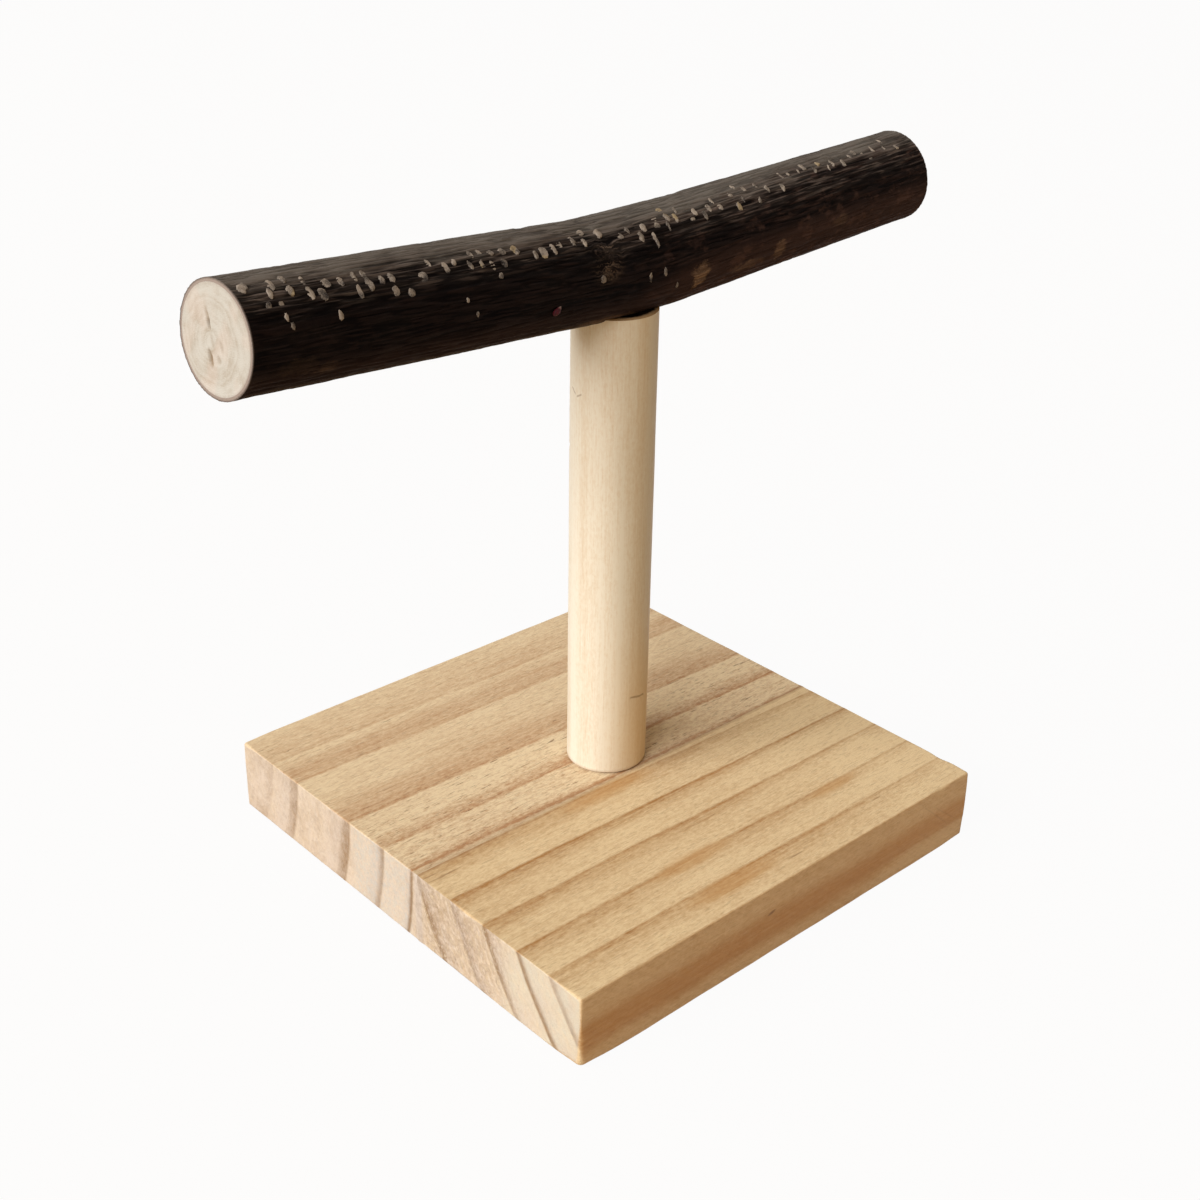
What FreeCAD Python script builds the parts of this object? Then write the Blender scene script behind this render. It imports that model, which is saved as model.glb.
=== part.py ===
"""Bird perch stand: a branch with its bark on, across a round post, on a square board of two glued pieces.

Millimetres. X runs along the board's grain and along the branch, Z is up, and the origin is the middle of
the board's underside. The left limb of the branch is the one towards -X.
"""
import FreeCAD, Part
import Sketcher
import math
import os
from enum import IntEnum

# Driving dimensions: name, value and what it measures
SIZES = (
    ("base_length", 130.0, "board along the grain"),
    ("base_width", 130.0, "board across the grain, both pieces together"),
    ("base_thickness", 19.0, "dressed thickness of the board"),
    ("glue_offset", 9.1, "from the board's middle to the glue line, towards -Y"),
    ("edge_round", 0.8, "sanded rounding of the board's outer edges"),
    ("post_diameter", 20.0, "dowel"),
    ("post_length", 117.2, "dowel, from the board's top to its seat in the branch"),
    ("post_end_bevel", 0.4, "sanded bevel on the dowel's two rims"),
    ("post_x", 2.0, "dowel's axis from the board's middle, along X"),
    ("post_y", 1.1, "dowel's axis from the board's middle, along Y"),
    ("left_reach", 104.4, "branch from its bend to the left end"),
    ("right_reach", 94.3, "branch from its bend to the right end"),
    ("left_rise", 4.2, "upward slope of the left limb, degrees"),
    ("right_rise", 3.6, "upward slope of the right limb, degrees"),
    ("left_swing", 4.4, "turn of the left limb towards -Y, degrees"),
    ("bend_reach", 14.0, "from the corner of the two limbs to where each runs straight"),
    ("left_end_diameter", 22.4, "over the bark"),
    ("left_limb_diameter", 22.8, "over the bark"),
    ("middle_diameter", 23.5, "over the bark, at the bend"),
    ("right_limb_diameter", 22.8, "over the bark"),
    ("right_end_diameter", 22.0, "over the bark"),
    ("bark_thickness", 0.8, "bark left on the branch"),
    ("seat_bite", 1.7, "depth of the post's seat in the wood under the bark"),
    ("seat_clearance", 0.1, "room round the post in its seat"),
    ("screw_diameter", 4.0, "shank of both screws"),
    ("screw_clearance", 0.1, "room round a screw in its hole"),
    ("tip_clearance", 1.0, "room past a screw's tip"),
    ("point_length", 5.0, "tapered tip of a screw"),
    ("base_screw_length", 45.0, "countersunk screw, with its head"),
    ("head_diameter", 8.0, "countersunk head"),
    ("head_recess", 0.5, "from the board's underside to the head"),
    ("screw_in_post", 20.0, "double-ended screw, its part in the post"),
    ("screw_in_branch", 16.0, "double-ended screw, its part in the branch"),
)

# Sizes worked out from the driving ones, as expressions
POST_TOP = "Sizes.base_thickness + Sizes.post_length"
SHANK = "Sizes.screw_diameter / 2"
HOLE = "(Sizes.screw_diameter / 2 + Sizes.screw_clearance)"
HEAD = "Sizes.head_diameter / 2"
BEND_LIFT = "Sizes.bend_reach * tan((Sizes.left_rise + Sizes.right_rise) * 1 deg / 4)"
SEAT_DROP = f"(Sizes.middle_diameter / 2 - Sizes.bark_thickness - Sizes.seat_bite - {BEND_LIFT})"
LOWER_PILOT = "(Sizes.base_screw_length + Sizes.head_recess - Sizes.base_thickness + Sizes.tip_clearance)"
UPPER_PILOT = "(Sizes.screw_in_post + Sizes.tip_clearance)"
BRANCH_PILOT = "(Sizes.screw_in_branch + Sizes.tip_clearance)"

UNTURNED = "rotationx(0 deg)"
QUARTERS = 4


class Axis(IntEnum):
    """The numbers by which constraints know a sketch's own axes."""
    LEVEL = -1
    UPRIGHT = -2


class Spot(IntEnum):
    """The numbers by which constraints know the points of a line, an arc or a circle."""
    START = 1
    END = 2
    CENTRE = 3


ROOT_POINT = (Axis.LEVEL, Spot.START)


def make_sheet(doc):
    """The sheet of driving dimensions, one row each: name, value and note."""
    sheet = doc.addObject("Spreadsheet::Sheet", "Sizes")
    for row, (name, value, note) in enumerate(SIZES, start=1):
        sheet.set(f"A{row}", name)
        sheet.set(f"B{row}", str(value))
        sheet.set(f"C{row}", note)
        sheet.setAlias(f"B{row}", name)
    doc.recompute()


def new_body(doc, label, x, y, z):
    """An empty body whose place is bound to the sheet."""
    body = doc.addObject("PartDesign::Body", label)
    body.Label = label
    for axis, place in (("x", x), ("y", y), ("z", z)):
        body.setExpression(f"Placement.Base.{axis}", place)
    return body


def placed(x, y, z, turned=UNTURNED):
    """The expression that shifts and turns a sketch in the frame of the plane it lies on."""
    return f"placement(vector({x}; {y}; {z}); {turned})"


def new_sketch(body, name, role, offset=None):
    """A sketch on one of the body's own origin planes."""
    sketch = body.newObject("Sketcher::SketchObject", name)
    plane = next(f for f in body.Origin.OriginFeatures if f.Role == role)
    sketch.AttachmentSupport = [(plane, "")]
    sketch.MapMode = "FlatFace"
    if offset:
        sketch.setExpression("AttachmentOffset", offset)
    return sketch


def bind(sketch, expression, kind, *where):
    """A sketch dimension that follows the sheet."""
    index = sketch.addConstraint(Sketcher.Constraint(kind, *where, float(sketch.evalExpression(expression))))
    sketch.setExpression(f"Constraints[{index}]", expression)


def outline(sketch, corners):
    """A closed outline of straight lines whose corners follow the sheet. A "0" lies on the sketch's axis."""
    points = [FreeCAD.Vector(*(float(sketch.evalExpression(c)) for c in corner), 0) for corner in corners]
    for start, end in zip(points, points[1:] + points[:1]):
        sketch.addGeometry(Part.LineSegment(start, end))
    for line, corner in enumerate(corners):
        before = (line - 1) % len(corners)
        sketch.addConstraint(Sketcher.Constraint("Coincident", before, Spot.END, line, Spot.START))
        for kind, axis, place in zip(("DistanceX", "DistanceY"), (Axis.UPRIGHT, Axis.LEVEL), corner):
            if place == "0":
                sketch.addConstraint(Sketcher.Constraint("PointOnObject", line, Spot.START, axis))
            else:
                bind(sketch, place, kind, *ROOT_POINT, line, Spot.START)
    return sketch


def circle_of(sketch, radius):
    """A circle about the sketch's origin, at the size that the sheet gives now."""
    return Part.Circle(FreeCAD.Vector(), FreeCAD.Vector(0, 0, 1), float(sketch.evalExpression(radius)))


def disc(sketch, radius):
    """One whole circle."""
    sketch.addGeometry(circle_of(sketch, radius))
    sketch.addConstraint(Sketcher.Constraint("Coincident", 0, Spot.CENTRE, *ROOT_POINT))
    bind(sketch, radius, "Radius", 0)
    return sketch


def ring(sketch, radius):
    """A circle in quarter arcs, each from one half of an axis to the next."""
    step = 2 * math.pi / QUARTERS
    axes = (Axis.LEVEL, Axis.UPRIGHT)
    for arc in range(QUARTERS):
        sketch.addGeometry(Part.ArcOfCircle(circle_of(sketch, radius), arc * step, (arc + 1) * step))
        sketch.addConstraint(Sketcher.Constraint("Coincident", arc, Spot.CENTRE, *ROOT_POINT))
        sketch.addConstraint(Sketcher.Constraint("PointOnObject", arc, Spot.START, axes[arc % len(axes)]))
        if arc:
            sketch.addConstraint(Sketcher.Constraint("Coincident", arc - 1, Spot.END, arc, Spot.START))
    sketch.addConstraint(Sketcher.Constraint("PointOnObject", arc, Spot.END, axes[0]))
    bind(sketch, radius, "Radius", 0)
    return sketch


def turn(body, kind, name, sketch):
    """A full turn of the sketch about its own upright axis, added or cut."""
    feature = body.newObject(f"PartDesign::{kind}", name)
    feature.Profile = sketch
    feature.ReferenceAxis = (sketch, ["V_Axis"])
    feature.Angle = 360.0
    return feature


def ease_edges(body, kind, feature, size_name, size, wanted):
    """Rounds or bevels those edges of a feature that pass the test."""
    body.Document.recompute()
    edges = [f"Edge{i}" for i, edge in enumerate(feature.Shape.Edges, start=1) if wanted(edge)]
    eased = body.newObject(f"PartDesign::{kind}", f"{body.Label}_eased")
    eased.Base = (feature, edges)
    eased.setExpression(size_name, size)


def make_board(doc, label, y, width, glue_side):
    """One piece of the board, drawn from its corner, with every edge rounded but those on the glue line."""
    body = new_body(doc, label, "-Sizes.base_length / 2", y, "0")
    length = "Sizes.base_length"
    plank = body.newObject("PartDesign::Pad", f"{label}_plank")
    plank.Profile = outline(
        new_sketch(body, f"{label}_face", "XY_Plane"),
        (("0", "0"), (length, "0"), (length, width), ("0", width)),
    )
    plank.setExpression("Length", "Sizes.base_thickness")
    glue_y = float(plank.evalExpression(glue_side))

    def off_glue_line(edge):
        return any(abs(v.Y - glue_y) > Part.Precision.confusion() for v in edge.Vertexes)

    ease_edges(body, "Fillet", plank, "Radius", "Sizes.edge_round", off_glue_line)
    return body


def make_boards(doc):
    """The two glued pieces. The wider rear one takes the screw, in a countersunk hole."""
    front_width = "Sizes.base_width / 2 - Sizes.glue_offset"
    rear_width = "Sizes.base_width / 2 + Sizes.glue_offset"
    make_board(doc, "base_board_front", "-Sizes.base_width / 2", front_width, front_width)
    rear = make_board(doc, "base_board_rear", "-Sizes.glue_offset", rear_width, "0")
    at_post = placed("Sizes.post_x + Sizes.base_length / 2", "0", "-Sizes.post_y - Sizes.glue_offset")
    mouth = f"{HEAD} + Sizes.head_recess"
    top = "Sizes.base_thickness"
    profile = outline(
        new_sketch(rear, "base_hole_profile", "XZ_Plane", at_post),
        (("0", "0"), (mouth, "0"), (HOLE, f"{mouth} - {HOLE}"), (HOLE, top), ("0", top)),
    )
    turn(rear, "Groove", "base_hole", profile)


def make_post(doc):
    """The dowel, with a pilot hole in each end."""
    post = new_body(doc, "post", "Sizes.post_x", "Sizes.post_y", "Sizes.base_thickness")
    radius = "Sizes.post_diameter / 2"
    top = "Sizes.post_length"
    floor = f"{top} - {UPPER_PILOT}"
    outside = ((HOLE, "0"), (radius, "0"), (radius, top), (HOLE, top))
    pilots = ((HOLE, floor), ("0", floor), ("0", LOWER_PILOT), (HOLE, LOWER_PILOT))
    dowel = turn(
        post, "Revolution", "post_dowel",
        outline(new_sketch(post, "post_profile", "XZ_Plane"), outside + pilots),
    )
    rim = float(dowel.evalExpression(radius))

    def on_rim(edge):
        curve = edge.Curve
        return isinstance(curve, Part.Circle) and abs(curve.Radius - rim) < Part.Precision.confusion()

    ease_edges(post, "Chamfer", dowel, "Size", "Sizes.post_end_bevel", on_rim)


def perch_sections(body, name, inset):
    """Round sections square to the branch's axis, from the left end to the right, an inset under its surface.

    The sketches lie across the branch, so their own x, y and z are the body's Y, Z and X. They are turned by
    half a quarter, which puts one quarter of the skin straight down, over the post.
    """
    left_rise = "(Sizes.left_rise * 1 deg)"
    right_rise = "(Sizes.right_rise * 1 deg)"
    swing = "(Sizes.left_swing * 1 deg)"
    half_quarter = f"rotationz({180 / QUARTERS} deg)"

    def on_left(reach):
        level = f"{reach} * cos{left_rise}"
        turned = f"rotationy{swing} * rotationx{left_rise} * {half_quarter}"
        return placed(f"-{level} * sin{swing}", f"{reach} * sin{left_rise}", f"-{level} * cos{swing}", turned)

    def on_right(reach):
        turned = f"rotationx(-{right_rise}) * {half_quarter}"
        return placed("0", f"{reach} * sin{right_rise}", f"{reach} * cos{right_rise}", turned)

    halfway = f"rotationy({swing} / 2) * rotationx(({left_rise} - {right_rise}) / 2) * {half_quarter}"
    stations = (
        (on_left("Sizes.left_reach"), "Sizes.left_end_diameter"),
        (on_left("(Sizes.left_reach / 2)"), "Sizes.left_limb_diameter"),
        (on_left("Sizes.bend_reach"), "Sizes.left_limb_diameter"),
        (placed("0", BEND_LIFT, "0", halfway), "Sizes.middle_diameter"),
        (on_right("Sizes.bend_reach"), "Sizes.middle_diameter"),
        (on_right("(Sizes.right_reach / 2)"), "Sizes.right_limb_diameter"),
        (on_right("Sizes.right_reach"), "Sizes.right_end_diameter"),
    )
    return [
        ring(new_sketch(body, f"{name}_{number}", "YZ_Plane", place), f"{diameter} / 2 - {inset}")
        for number, (place, diameter) in enumerate(stations)
    ]


def loft(body, kind, name, sections):
    """A skin that runs straight from each section to the next, added or cut."""
    feature = body.newObject(f"PartDesign::{kind}", name)
    feature.Profile = sections[0]
    feature.Sections = sections[1:]
    feature.Ruled = True


def on_seat(body, name, radius):
    """A circle about the post's axis, on the flat floor of its seat in the branch."""
    floor = placed("0", "0", f"-{SEAT_DROP}")
    return disc(new_sketch(body, name, "XY_Plane", floor), radius)


def drill_seat(body, name):
    """Drills the underside flat where the post's end is let in. The branch hangs past it on either side."""
    seat = body.newObject("PartDesign::Pocket", name)
    seat.Profile = on_seat(body, f"{name}_rim", "Sizes.post_diameter / 2 + Sizes.seat_clearance")
    seat.setExpression("Length", "Sizes.middle_diameter")


def make_perch(doc):
    """The branch: its wood, and the bark round it, flush at both sawn ends and at the post's seat."""
    height = f"{POST_TOP} + {SEAT_DROP}"
    core = new_body(doc, "perch_core", "Sizes.post_x", "Sizes.post_y", height)
    under_bark = "Sizes.bark_thickness"
    loft(core, "AdditiveLoft", "core_limbs", perch_sections(core, "core_section", under_bark))
    drill_seat(core, "core_seat")
    pilot = core.newObject("PartDesign::Pocket", "core_pilot")
    pilot.Profile = on_seat(core, "core_pilot_rim", HOLE)
    pilot.setExpression("Length", BRANCH_PILOT)
    pilot.Reversed = True

    bark = new_body(doc, "perch_bark", "Sizes.post_x", "Sizes.post_y", height)
    loft(bark, "AdditiveLoft", "bark_limbs", perch_sections(bark, "bark_section", "0"))
    loft(bark, "SubtractiveLoft", "bark_hollow", perch_sections(bark, "hollow_section", under_bark))
    drill_seat(bark, "bark_seat")


def make_screws(doc):
    """The countersunk screw from below, and the double-ended one between the post and the branch."""
    base_screw = new_body(doc, "base_screw", "Sizes.post_x", "Sizes.post_y", "Sizes.head_recess")
    tip = "Sizes.base_screw_length"
    neck = f"{HEAD} - {SHANK}"
    profile = outline(
        new_sketch(base_screw, "base_screw_profile", "XZ_Plane"),
        (("0", "0"), (HEAD, "0"), (SHANK, neck), (SHANK, f"{tip} - Sizes.point_length"), ("0", tip)),
    )
    turn(base_screw, "Revolution", "base_screw_turned", profile)

    lower_tip = f"{POST_TOP} - Sizes.screw_in_post"
    perch_screw = new_body(doc, "perch_screw", "Sizes.post_x", "Sizes.post_y", lower_tip)
    tip = "Sizes.screw_in_post + Sizes.screw_in_branch"
    profile = outline(
        new_sketch(perch_screw, "perch_screw_profile", "XZ_Plane"),
        (("0", "0"), (SHANK, "Sizes.point_length"), (SHANK, f"{tip} - Sizes.point_length"), ("0", tip)),
    )
    turn(perch_screw, "Revolution", "perch_screw_turned", profile)


def check(doc):
    """Stops if a feature failed, or a piece isn't one sound solid."""
    failed = [o.Name for o in doc.Objects if {"Invalid", "Error"} & set(o.State)]
    if failed:
        raise RuntimeError(f"failed features: {failed}")
    for body in doc.findObjects("PartDesign::Body"):
        if body.Shape.isNull() or not body.Shape.isValid() or len(body.Shape.Solids) != 1:
            raise RuntimeError(f"{body.Label} isn't one sound solid")


def main():
    doc = FreeCAD.newDocument("perch_stand")
    make_sheet(doc)
    make_boards(doc)
    make_post(doc)
    make_perch(doc)
    make_screws(doc)
    doc.recompute()
    check(doc)
    os.makedirs("parts", exist_ok=True)
    for body in doc.findObjects("PartDesign::Body"):
        body.Shape.exportStep(f"parts/{body.Label}.step")
        print(f"{body.Label}: {body.Shape.Volume:.0f} mm3")


main()
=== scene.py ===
"""Finishes a bird perch stand: two pine boards, a dowel, a branch with its bark on and two screws."""
import math
from contextlib import contextmanager
from functools import reduce
from typing import NamedTuple

import bmesh
import bpy
import numpy as np
from bpy.props import FloatProperty, FloatVectorProperty, IntProperty, PointerProperty
from mathutils import Matrix, Vector
from mathutils.bvhtree import BVHTree


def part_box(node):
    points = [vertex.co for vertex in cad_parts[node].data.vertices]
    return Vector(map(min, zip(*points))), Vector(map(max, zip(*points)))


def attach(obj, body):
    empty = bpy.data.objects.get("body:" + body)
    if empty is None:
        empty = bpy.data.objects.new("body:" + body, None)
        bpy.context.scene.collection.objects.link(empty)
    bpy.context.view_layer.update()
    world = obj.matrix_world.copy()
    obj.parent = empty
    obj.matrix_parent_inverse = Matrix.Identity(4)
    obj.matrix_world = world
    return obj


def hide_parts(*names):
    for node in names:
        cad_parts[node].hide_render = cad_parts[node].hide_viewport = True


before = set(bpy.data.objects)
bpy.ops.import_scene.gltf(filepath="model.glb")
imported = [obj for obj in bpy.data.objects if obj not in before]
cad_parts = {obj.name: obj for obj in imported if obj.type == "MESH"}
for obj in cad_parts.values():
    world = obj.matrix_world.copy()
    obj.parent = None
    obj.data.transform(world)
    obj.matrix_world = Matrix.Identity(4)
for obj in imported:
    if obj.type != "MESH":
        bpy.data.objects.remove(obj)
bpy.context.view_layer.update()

bl_info = {
    "name": "Perch stand finish",
    "version": (1, 0, 0),
    "blender": (4, 5, 0),
    "location": "3D View > Sidebar > Perch",
    "description": "Dresses a wooden bird perch stand in its pine, dowel, branch wood, bark and screws",
    "category": "Object",
}

# Metres in a millimetre, and the gaps in metres across which doubled points merge, in general and after a cut
MM = 0.001
POINT_GAP = 1e-6
CUT_GAP = 4e-6
# Radius in millimetres of the holes that the screws go into
SCREW_BORE = 2.1


class Wire:
    """One socket of a node tree. Arithmetic on wires adds Math nodes, so a pattern reads as a formula."""

    def __init__(self, tree, socket=None):
        self.tree = tree
        self.socket = socket

    def node(self, kind, settings=None, sockets=None, output=None):
        """Adds a node: its settings first, then the values or links of its sockets. Gives one output."""
        made = self.tree.nodes.new(kind)
        for name, value in (settings or {}).items():
            if name == "stops":
                set_stops(made.color_ramp, value)
            else:
                setattr(made, name, value)
        inputs = {socket.identifier: socket for socket in made.inputs}
        for name, value in (sockets or {}).items():
            if isinstance(value, Wire):
                self.tree.links.new(value.socket, inputs[name])
            else:
                inputs[name].default_value = value
        outputs = {socket.name: socket for socket in made.outputs}
        outputs.update({socket.identifier: socket for socket in made.outputs})
        chosen = outputs[output] if output else next(iter(made.outputs), None)
        return Wire(self.tree, chosen)

    def math(self, operation, first, second=0.0):
        return self.node("ShaderNodeMath", {"operation": operation}, {"Value": first, "Value_001": second})

    def __add__(self, other):
        return self.math("ADD", self, other)

    def __radd__(self, other):
        return self.math("ADD", other, self)

    def __sub__(self, other):
        return self.math("SUBTRACT", self, other)

    def __rsub__(self, other):
        return self.math("SUBTRACT", other, self)

    def __mul__(self, other):
        return self.math("MULTIPLY", self, other)

    def __rmul__(self, other):
        return self.math("MULTIPLY", other, self)

    def __truediv__(self, other):
        return self.math("DIVIDE", self, other)

    def __rtruediv__(self, other):
        return self.math("DIVIDE", other, self)

    def __pow__(self, other):
        return self.math("POWER", self, other)

    def __rpow__(self, other):
        return self.math("POWER", other, self)

    def __abs__(self):
        return self.math("ABSOLUTE", self)

    def least(self, other):
        return self.math("MINIMUM", self, other)

    def most(self, other):
        return self.math("MAXIMUM", self, other)

    def smooth(self, start, end):
        """A soft step from 0 at start to 1 at end, which may lie either way round."""
        ends = {"Value": self, "From Min": start, "From Max": end}
        return self.node("ShaderNodeMapRange", {"interpolation_type": "SMOOTHSTEP"}, ends)

    def tint(self, first, second):
        """The first colour where this wire is 0, the second where it is 1."""
        colours = {"Factor_Float": self, "A_Color": opaque(first), "B_Color": opaque(second)}
        return self.node("ShaderNodeMix", {"data_type": "RGBA"}, colours, "Result_Color")

    def vector(self, operation, other, output="Vector"):
        return self.node("ShaderNodeVectorMath", {"operation": operation},
                         {"Vector": self, "Vector_001": other}, output)

    def scaled(self, factor):
        return self.node("ShaderNodeVectorMath", {"operation": "SCALE"}, {"Vector": self, "Scale": factor})

    def reach(self, point):
        """Distance of this place from a point."""
        return self.vector("DISTANCE", point, "Value")

    def split(self):
        made = self.node("ShaderNodeSeparateXYZ", sockets={"Vector": self}).socket.node
        return tuple(Wire(self.tree, output) for output in made.outputs)

    def joined(self, x=0.0, y=0.0, z=0.0):
        """A place made of three values."""
        return self.node("ShaderNodeCombineXYZ", None, {"X": x, "Y": y, "Z": z})

    def noise(self, scale, detail=2.0, roughness=0.5):
        """Noise of this place, with its own scale along each axis."""
        place = self.vector("MULTIPLY", scale)
        values = {"Vector": place, "Scale": 1.0, "Detail": detail, "Roughness": roughness}
        return self.node("ShaderNodeTexNoise", None, values, "Fac")

    def ramp(self, stops):
        """Grey levels given as (place, level) pairs."""
        return self.node("ShaderNodeValToRGB", {"stops": stops}, {"Fac": self}, "Color")


def set_stops(ramp, stops):
    """Gives a colour ramp its grey stops, (place, level) in rising order."""
    while len(ramp.elements) < len(stops):
        ramp.elements.new(0.5)
    for element, (place, level) in zip(ramp.elements, stops):
        element.position = place
        element.color = (level, level, level, 1.0)


def opaque(colour):
    """A colour with full alpha, or the wire that carries one."""
    return colour if isinstance(colour, Wire) else (*tuple(colour)[:3], 1.0)


def distance(first, second):
    """Distance from the origin of a place given by two wires."""
    return (first ** 2 + second ** 2) ** 0.5


def bearing(first, second):
    """Angle in degrees of a place given by two wires, from the second towards the first."""
    return first.math("ARCTAN2", first, second) * (180 / math.pi)


def strongest(marks):
    """The largest of several marks at each place."""
    return reduce(Wire.most, marks)


def thin_lines(noise, sharpness, faint=0.0, full=0.8):
    """1 along the lines where a noise crosses its middle."""
    return (1 - abs(noise - 0.5) * sharpness).smooth(faint, full)


def bumped(start, height, depth):
    """A bump of that height field, its depth in millimetres."""
    values = {"Height": height, "Distance": depth * MM, "Strength": 1.0}
    return start.node("ShaderNodeBump", None, values, "Normal")


def new_material(name):
    """A material with an empty tree, and the wire that its nodes start from."""
    made = bpy.data.materials.new(name)
    made.use_nodes = True
    made.node_tree.nodes.clear()
    return made, Wire(made.node_tree)


def surface(start, sockets):
    """Ends a material's tree in one principled shader."""
    shader = start.node("ShaderNodeBsdfPrincipled", None, sockets, "BSDF")
    start.node("ShaderNodeOutputMaterial", None, {"Surface": shader})


def object_place(start):
    """Object coordinates in millimetres."""
    return start.node("ShaderNodeTexCoord", None, None, "Object").scaled(1 / MM)


def straight_place(start):
    """Places along the straightened branch, in millimetres."""
    return start.node("ShaderNodeAttribute", {"attribute_name": "straight"}, None, "Vector")


def colour_setting(name, description, default):
    """A colour for the panel."""
    return FloatVectorProperty(name=name, description=description, subtype="COLOR", default=default)


def length_setting(name, description, default):
    """A length in metres for the panel."""
    return FloatProperty(name=name, description=description, unit="LENGTH", default=default)


def angle_setting(name, description, degrees):
    """An angle for the panel, which keeps it in radians."""
    return FloatProperty(name=name, description=description, unit="ROTATION", default=math.radians(degrees))


def mesh_piece(name, points, faces):
    """A new object at the origin, with its place in its mesh. Points are in millimetres."""
    mesh = bpy.data.meshes.new(name)
    listed = faces.tolist() if isinstance(faces, np.ndarray) else faces
    mesh.from_pydata((np.asarray(points) * MM).tolist(), [], listed)
    piece = bpy.data.objects.new(name, mesh)
    bpy.context.scene.collection.objects.link(piece)
    return piece


@contextmanager
def reworked(piece):
    """The piece's mesh to work on, put back when the work is done."""
    work = bmesh.new()
    work.from_mesh(piece.data)
    yield work
    work.to_mesh(piece.data)
    work.free()


def close_up(piece, gap=POINT_GAP):
    """Merges doubled points and faces the mesh outwards."""
    with reworked(piece) as work:
        bmesh.ops.remove_doubles(work, verts=work.verts, dist=gap)
        bmesh.ops.dissolve_degenerate(work, edges=work.edges, dist=gap)
        bmesh.ops.recalc_face_normals(work, faces=work.faces)


def settle(piece):
    """Makes a plain mesh of a piece and its modifiers."""
    graph = bpy.context.evaluated_depsgraph_get()
    shaped = piece.evaluated_get(graph)
    mesh = bpy.data.meshes.new_from_object(shaped, preserve_all_data_layers=True, depsgraph=graph)
    piece.modifiers.clear()
    piece.data = mesh


def cut_out(piece, cutter):
    """Takes the cutter's solid out of a piece."""
    cut = piece.modifiers.new("cut", "BOOLEAN")
    cut.operation = "DIFFERENCE"
    cut.solver = "EXACT"
    cut.object = cutter
    settle(piece)
    bpy.data.objects.remove(cutter)
    if not piece.data.polygons:
        raise RuntimeError("nothing is left of " + piece.name)


def finish(piece, node=None, crease=40.0):
    """Smooths the shading between creases and sets the piece on the frame."""
    piece.data.shade_smooth()
    piece.data.set_sharp_from_angle(angle=math.radians(crease))
    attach(piece, "root")
    if node:
        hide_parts(node)


def grid_faces(rows, columns, close_rows=False, close_columns=True):
    """Quads of a grid of points listed row by row, which may close round either way."""
    row_count = rows if close_rows else rows - 1
    column_count = columns if close_columns else columns - 1
    row, column = np.mgrid[0:row_count, 0:column_count]
    here = row * columns
    below = (row + 1) % rows * columns
    after = (column + 1) % columns
    return np.stack((here + column, here + after, below + after, below + column), -1).reshape(-1, 4)


def round_piece(name, reach, height, centre):
    """A closed piece about the vertical, from its reach at each row and turn and each row's height."""
    turn = np.linspace(0, math.tau, reach.shape[1], endpoint=False)
    x = centre[0] + reach * np.cos(turn)
    y = centre[1] + reach * np.sin(turn)
    points = np.stack([x, y, np.broadcast_to(height[:, None], x.shape)], -1)
    piece = mesh_piece(name, points.reshape(-1, 3), grid_faces(*reach.shape))
    close_up(piece)
    return piece


def turned(name, profile, centre, segments):
    """A solid turned about the vertical, from its (radius, height) profile in millimetres."""
    radius, height = np.array(profile, float).T
    return round_piece(name, np.repeat(radius[:, None], segments, axis=1), height, centre)


def node_box(node):
    """Lowest and highest corner of a CAD node, in millimetres."""
    low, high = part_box(node)
    return np.array(low) / MM, np.array(high) / MM


class ShapeTree:
    """A Geometry Nodes tree with named inputs, which ends in Realize Instances and Set Material."""

    def __init__(self, name):
        self.tree = bpy.data.node_groups.new(name, "GeometryNodeTree")
        self.values = {}
        self.tree.interface.new_socket("Geometry", in_out="INPUT", socket_type="NodeSocketGeometry")
        self.tree.interface.new_socket("Geometry", in_out="OUTPUT", socket_type="NodeSocketGeometry")
        self.start = Wire(self.tree)
        self.geometry = self.given("Geometry")

    def given(self, name):
        return self.start.node("NodeGroupInput", None, None, name)

    def number(self, name, kind, value):
        """A named input of the tree and the value that the modifier gives it."""
        made = self.tree.interface.new_socket(name, in_out="INPUT", socket_type=kind)
        self.values[made.identifier] = value
        return self.given(name)

    def apply(self, piece, geometry, material):
        """Ends the tree, runs it on the piece and keeps the result as the piece's plain mesh."""
        paint = self.number("Material", "NodeSocketMaterial", material)
        realized = self.start.node("GeometryNodeRealizeInstances", None, {"Geometry": geometry})
        painted = self.start.node("GeometryNodeSetMaterial", None, {"Geometry": realized, "Material": paint})
        ending = self.tree.nodes.new("NodeGroupOutput")
        self.tree.links.new(painted.socket, ending.inputs[0])
        modifier = piece.modifiers.new(self.tree.name, "NODES")
        modifier.node_group = self.tree
        for identifier, value in self.values.items():
            modifier[identifier] = value
        settle(piece)

    def sink(self, depth):
        """Moves the surface inwards along its normals by a depth in millimetres."""
        normal = self.start.node("GeometryNodeInputNormal", None, None, "Normal")
        offset = normal.scaled(depth * -MM)
        return self.start.node("GeometryNodeSetPosition", None, {"Geometry": self.geometry, "Offset": offset})

    def place(self):
        """Places of the points in millimetres."""
        return self.start.node("GeometryNodeInputPosition").scaled(1 / MM)

    def named(self, name):
        settings = {"data_type": "FLOAT_VECTOR"}
        return self.start.node("GeometryNodeInputNamedAttribute", settings, {"Name": name}, "Attribute")


# Pine boards

class Ring(NamedTuple):
    """One year's dark wood: the radius of its sharp outer edge, its fade inwards and its depth.

    body is its darkness halfway through the fade, and sawn its share on a sawn end."""
    edge: float
    fade: float
    depth: float
    body: float = 0.3
    sawn: float = 1.0


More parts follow.
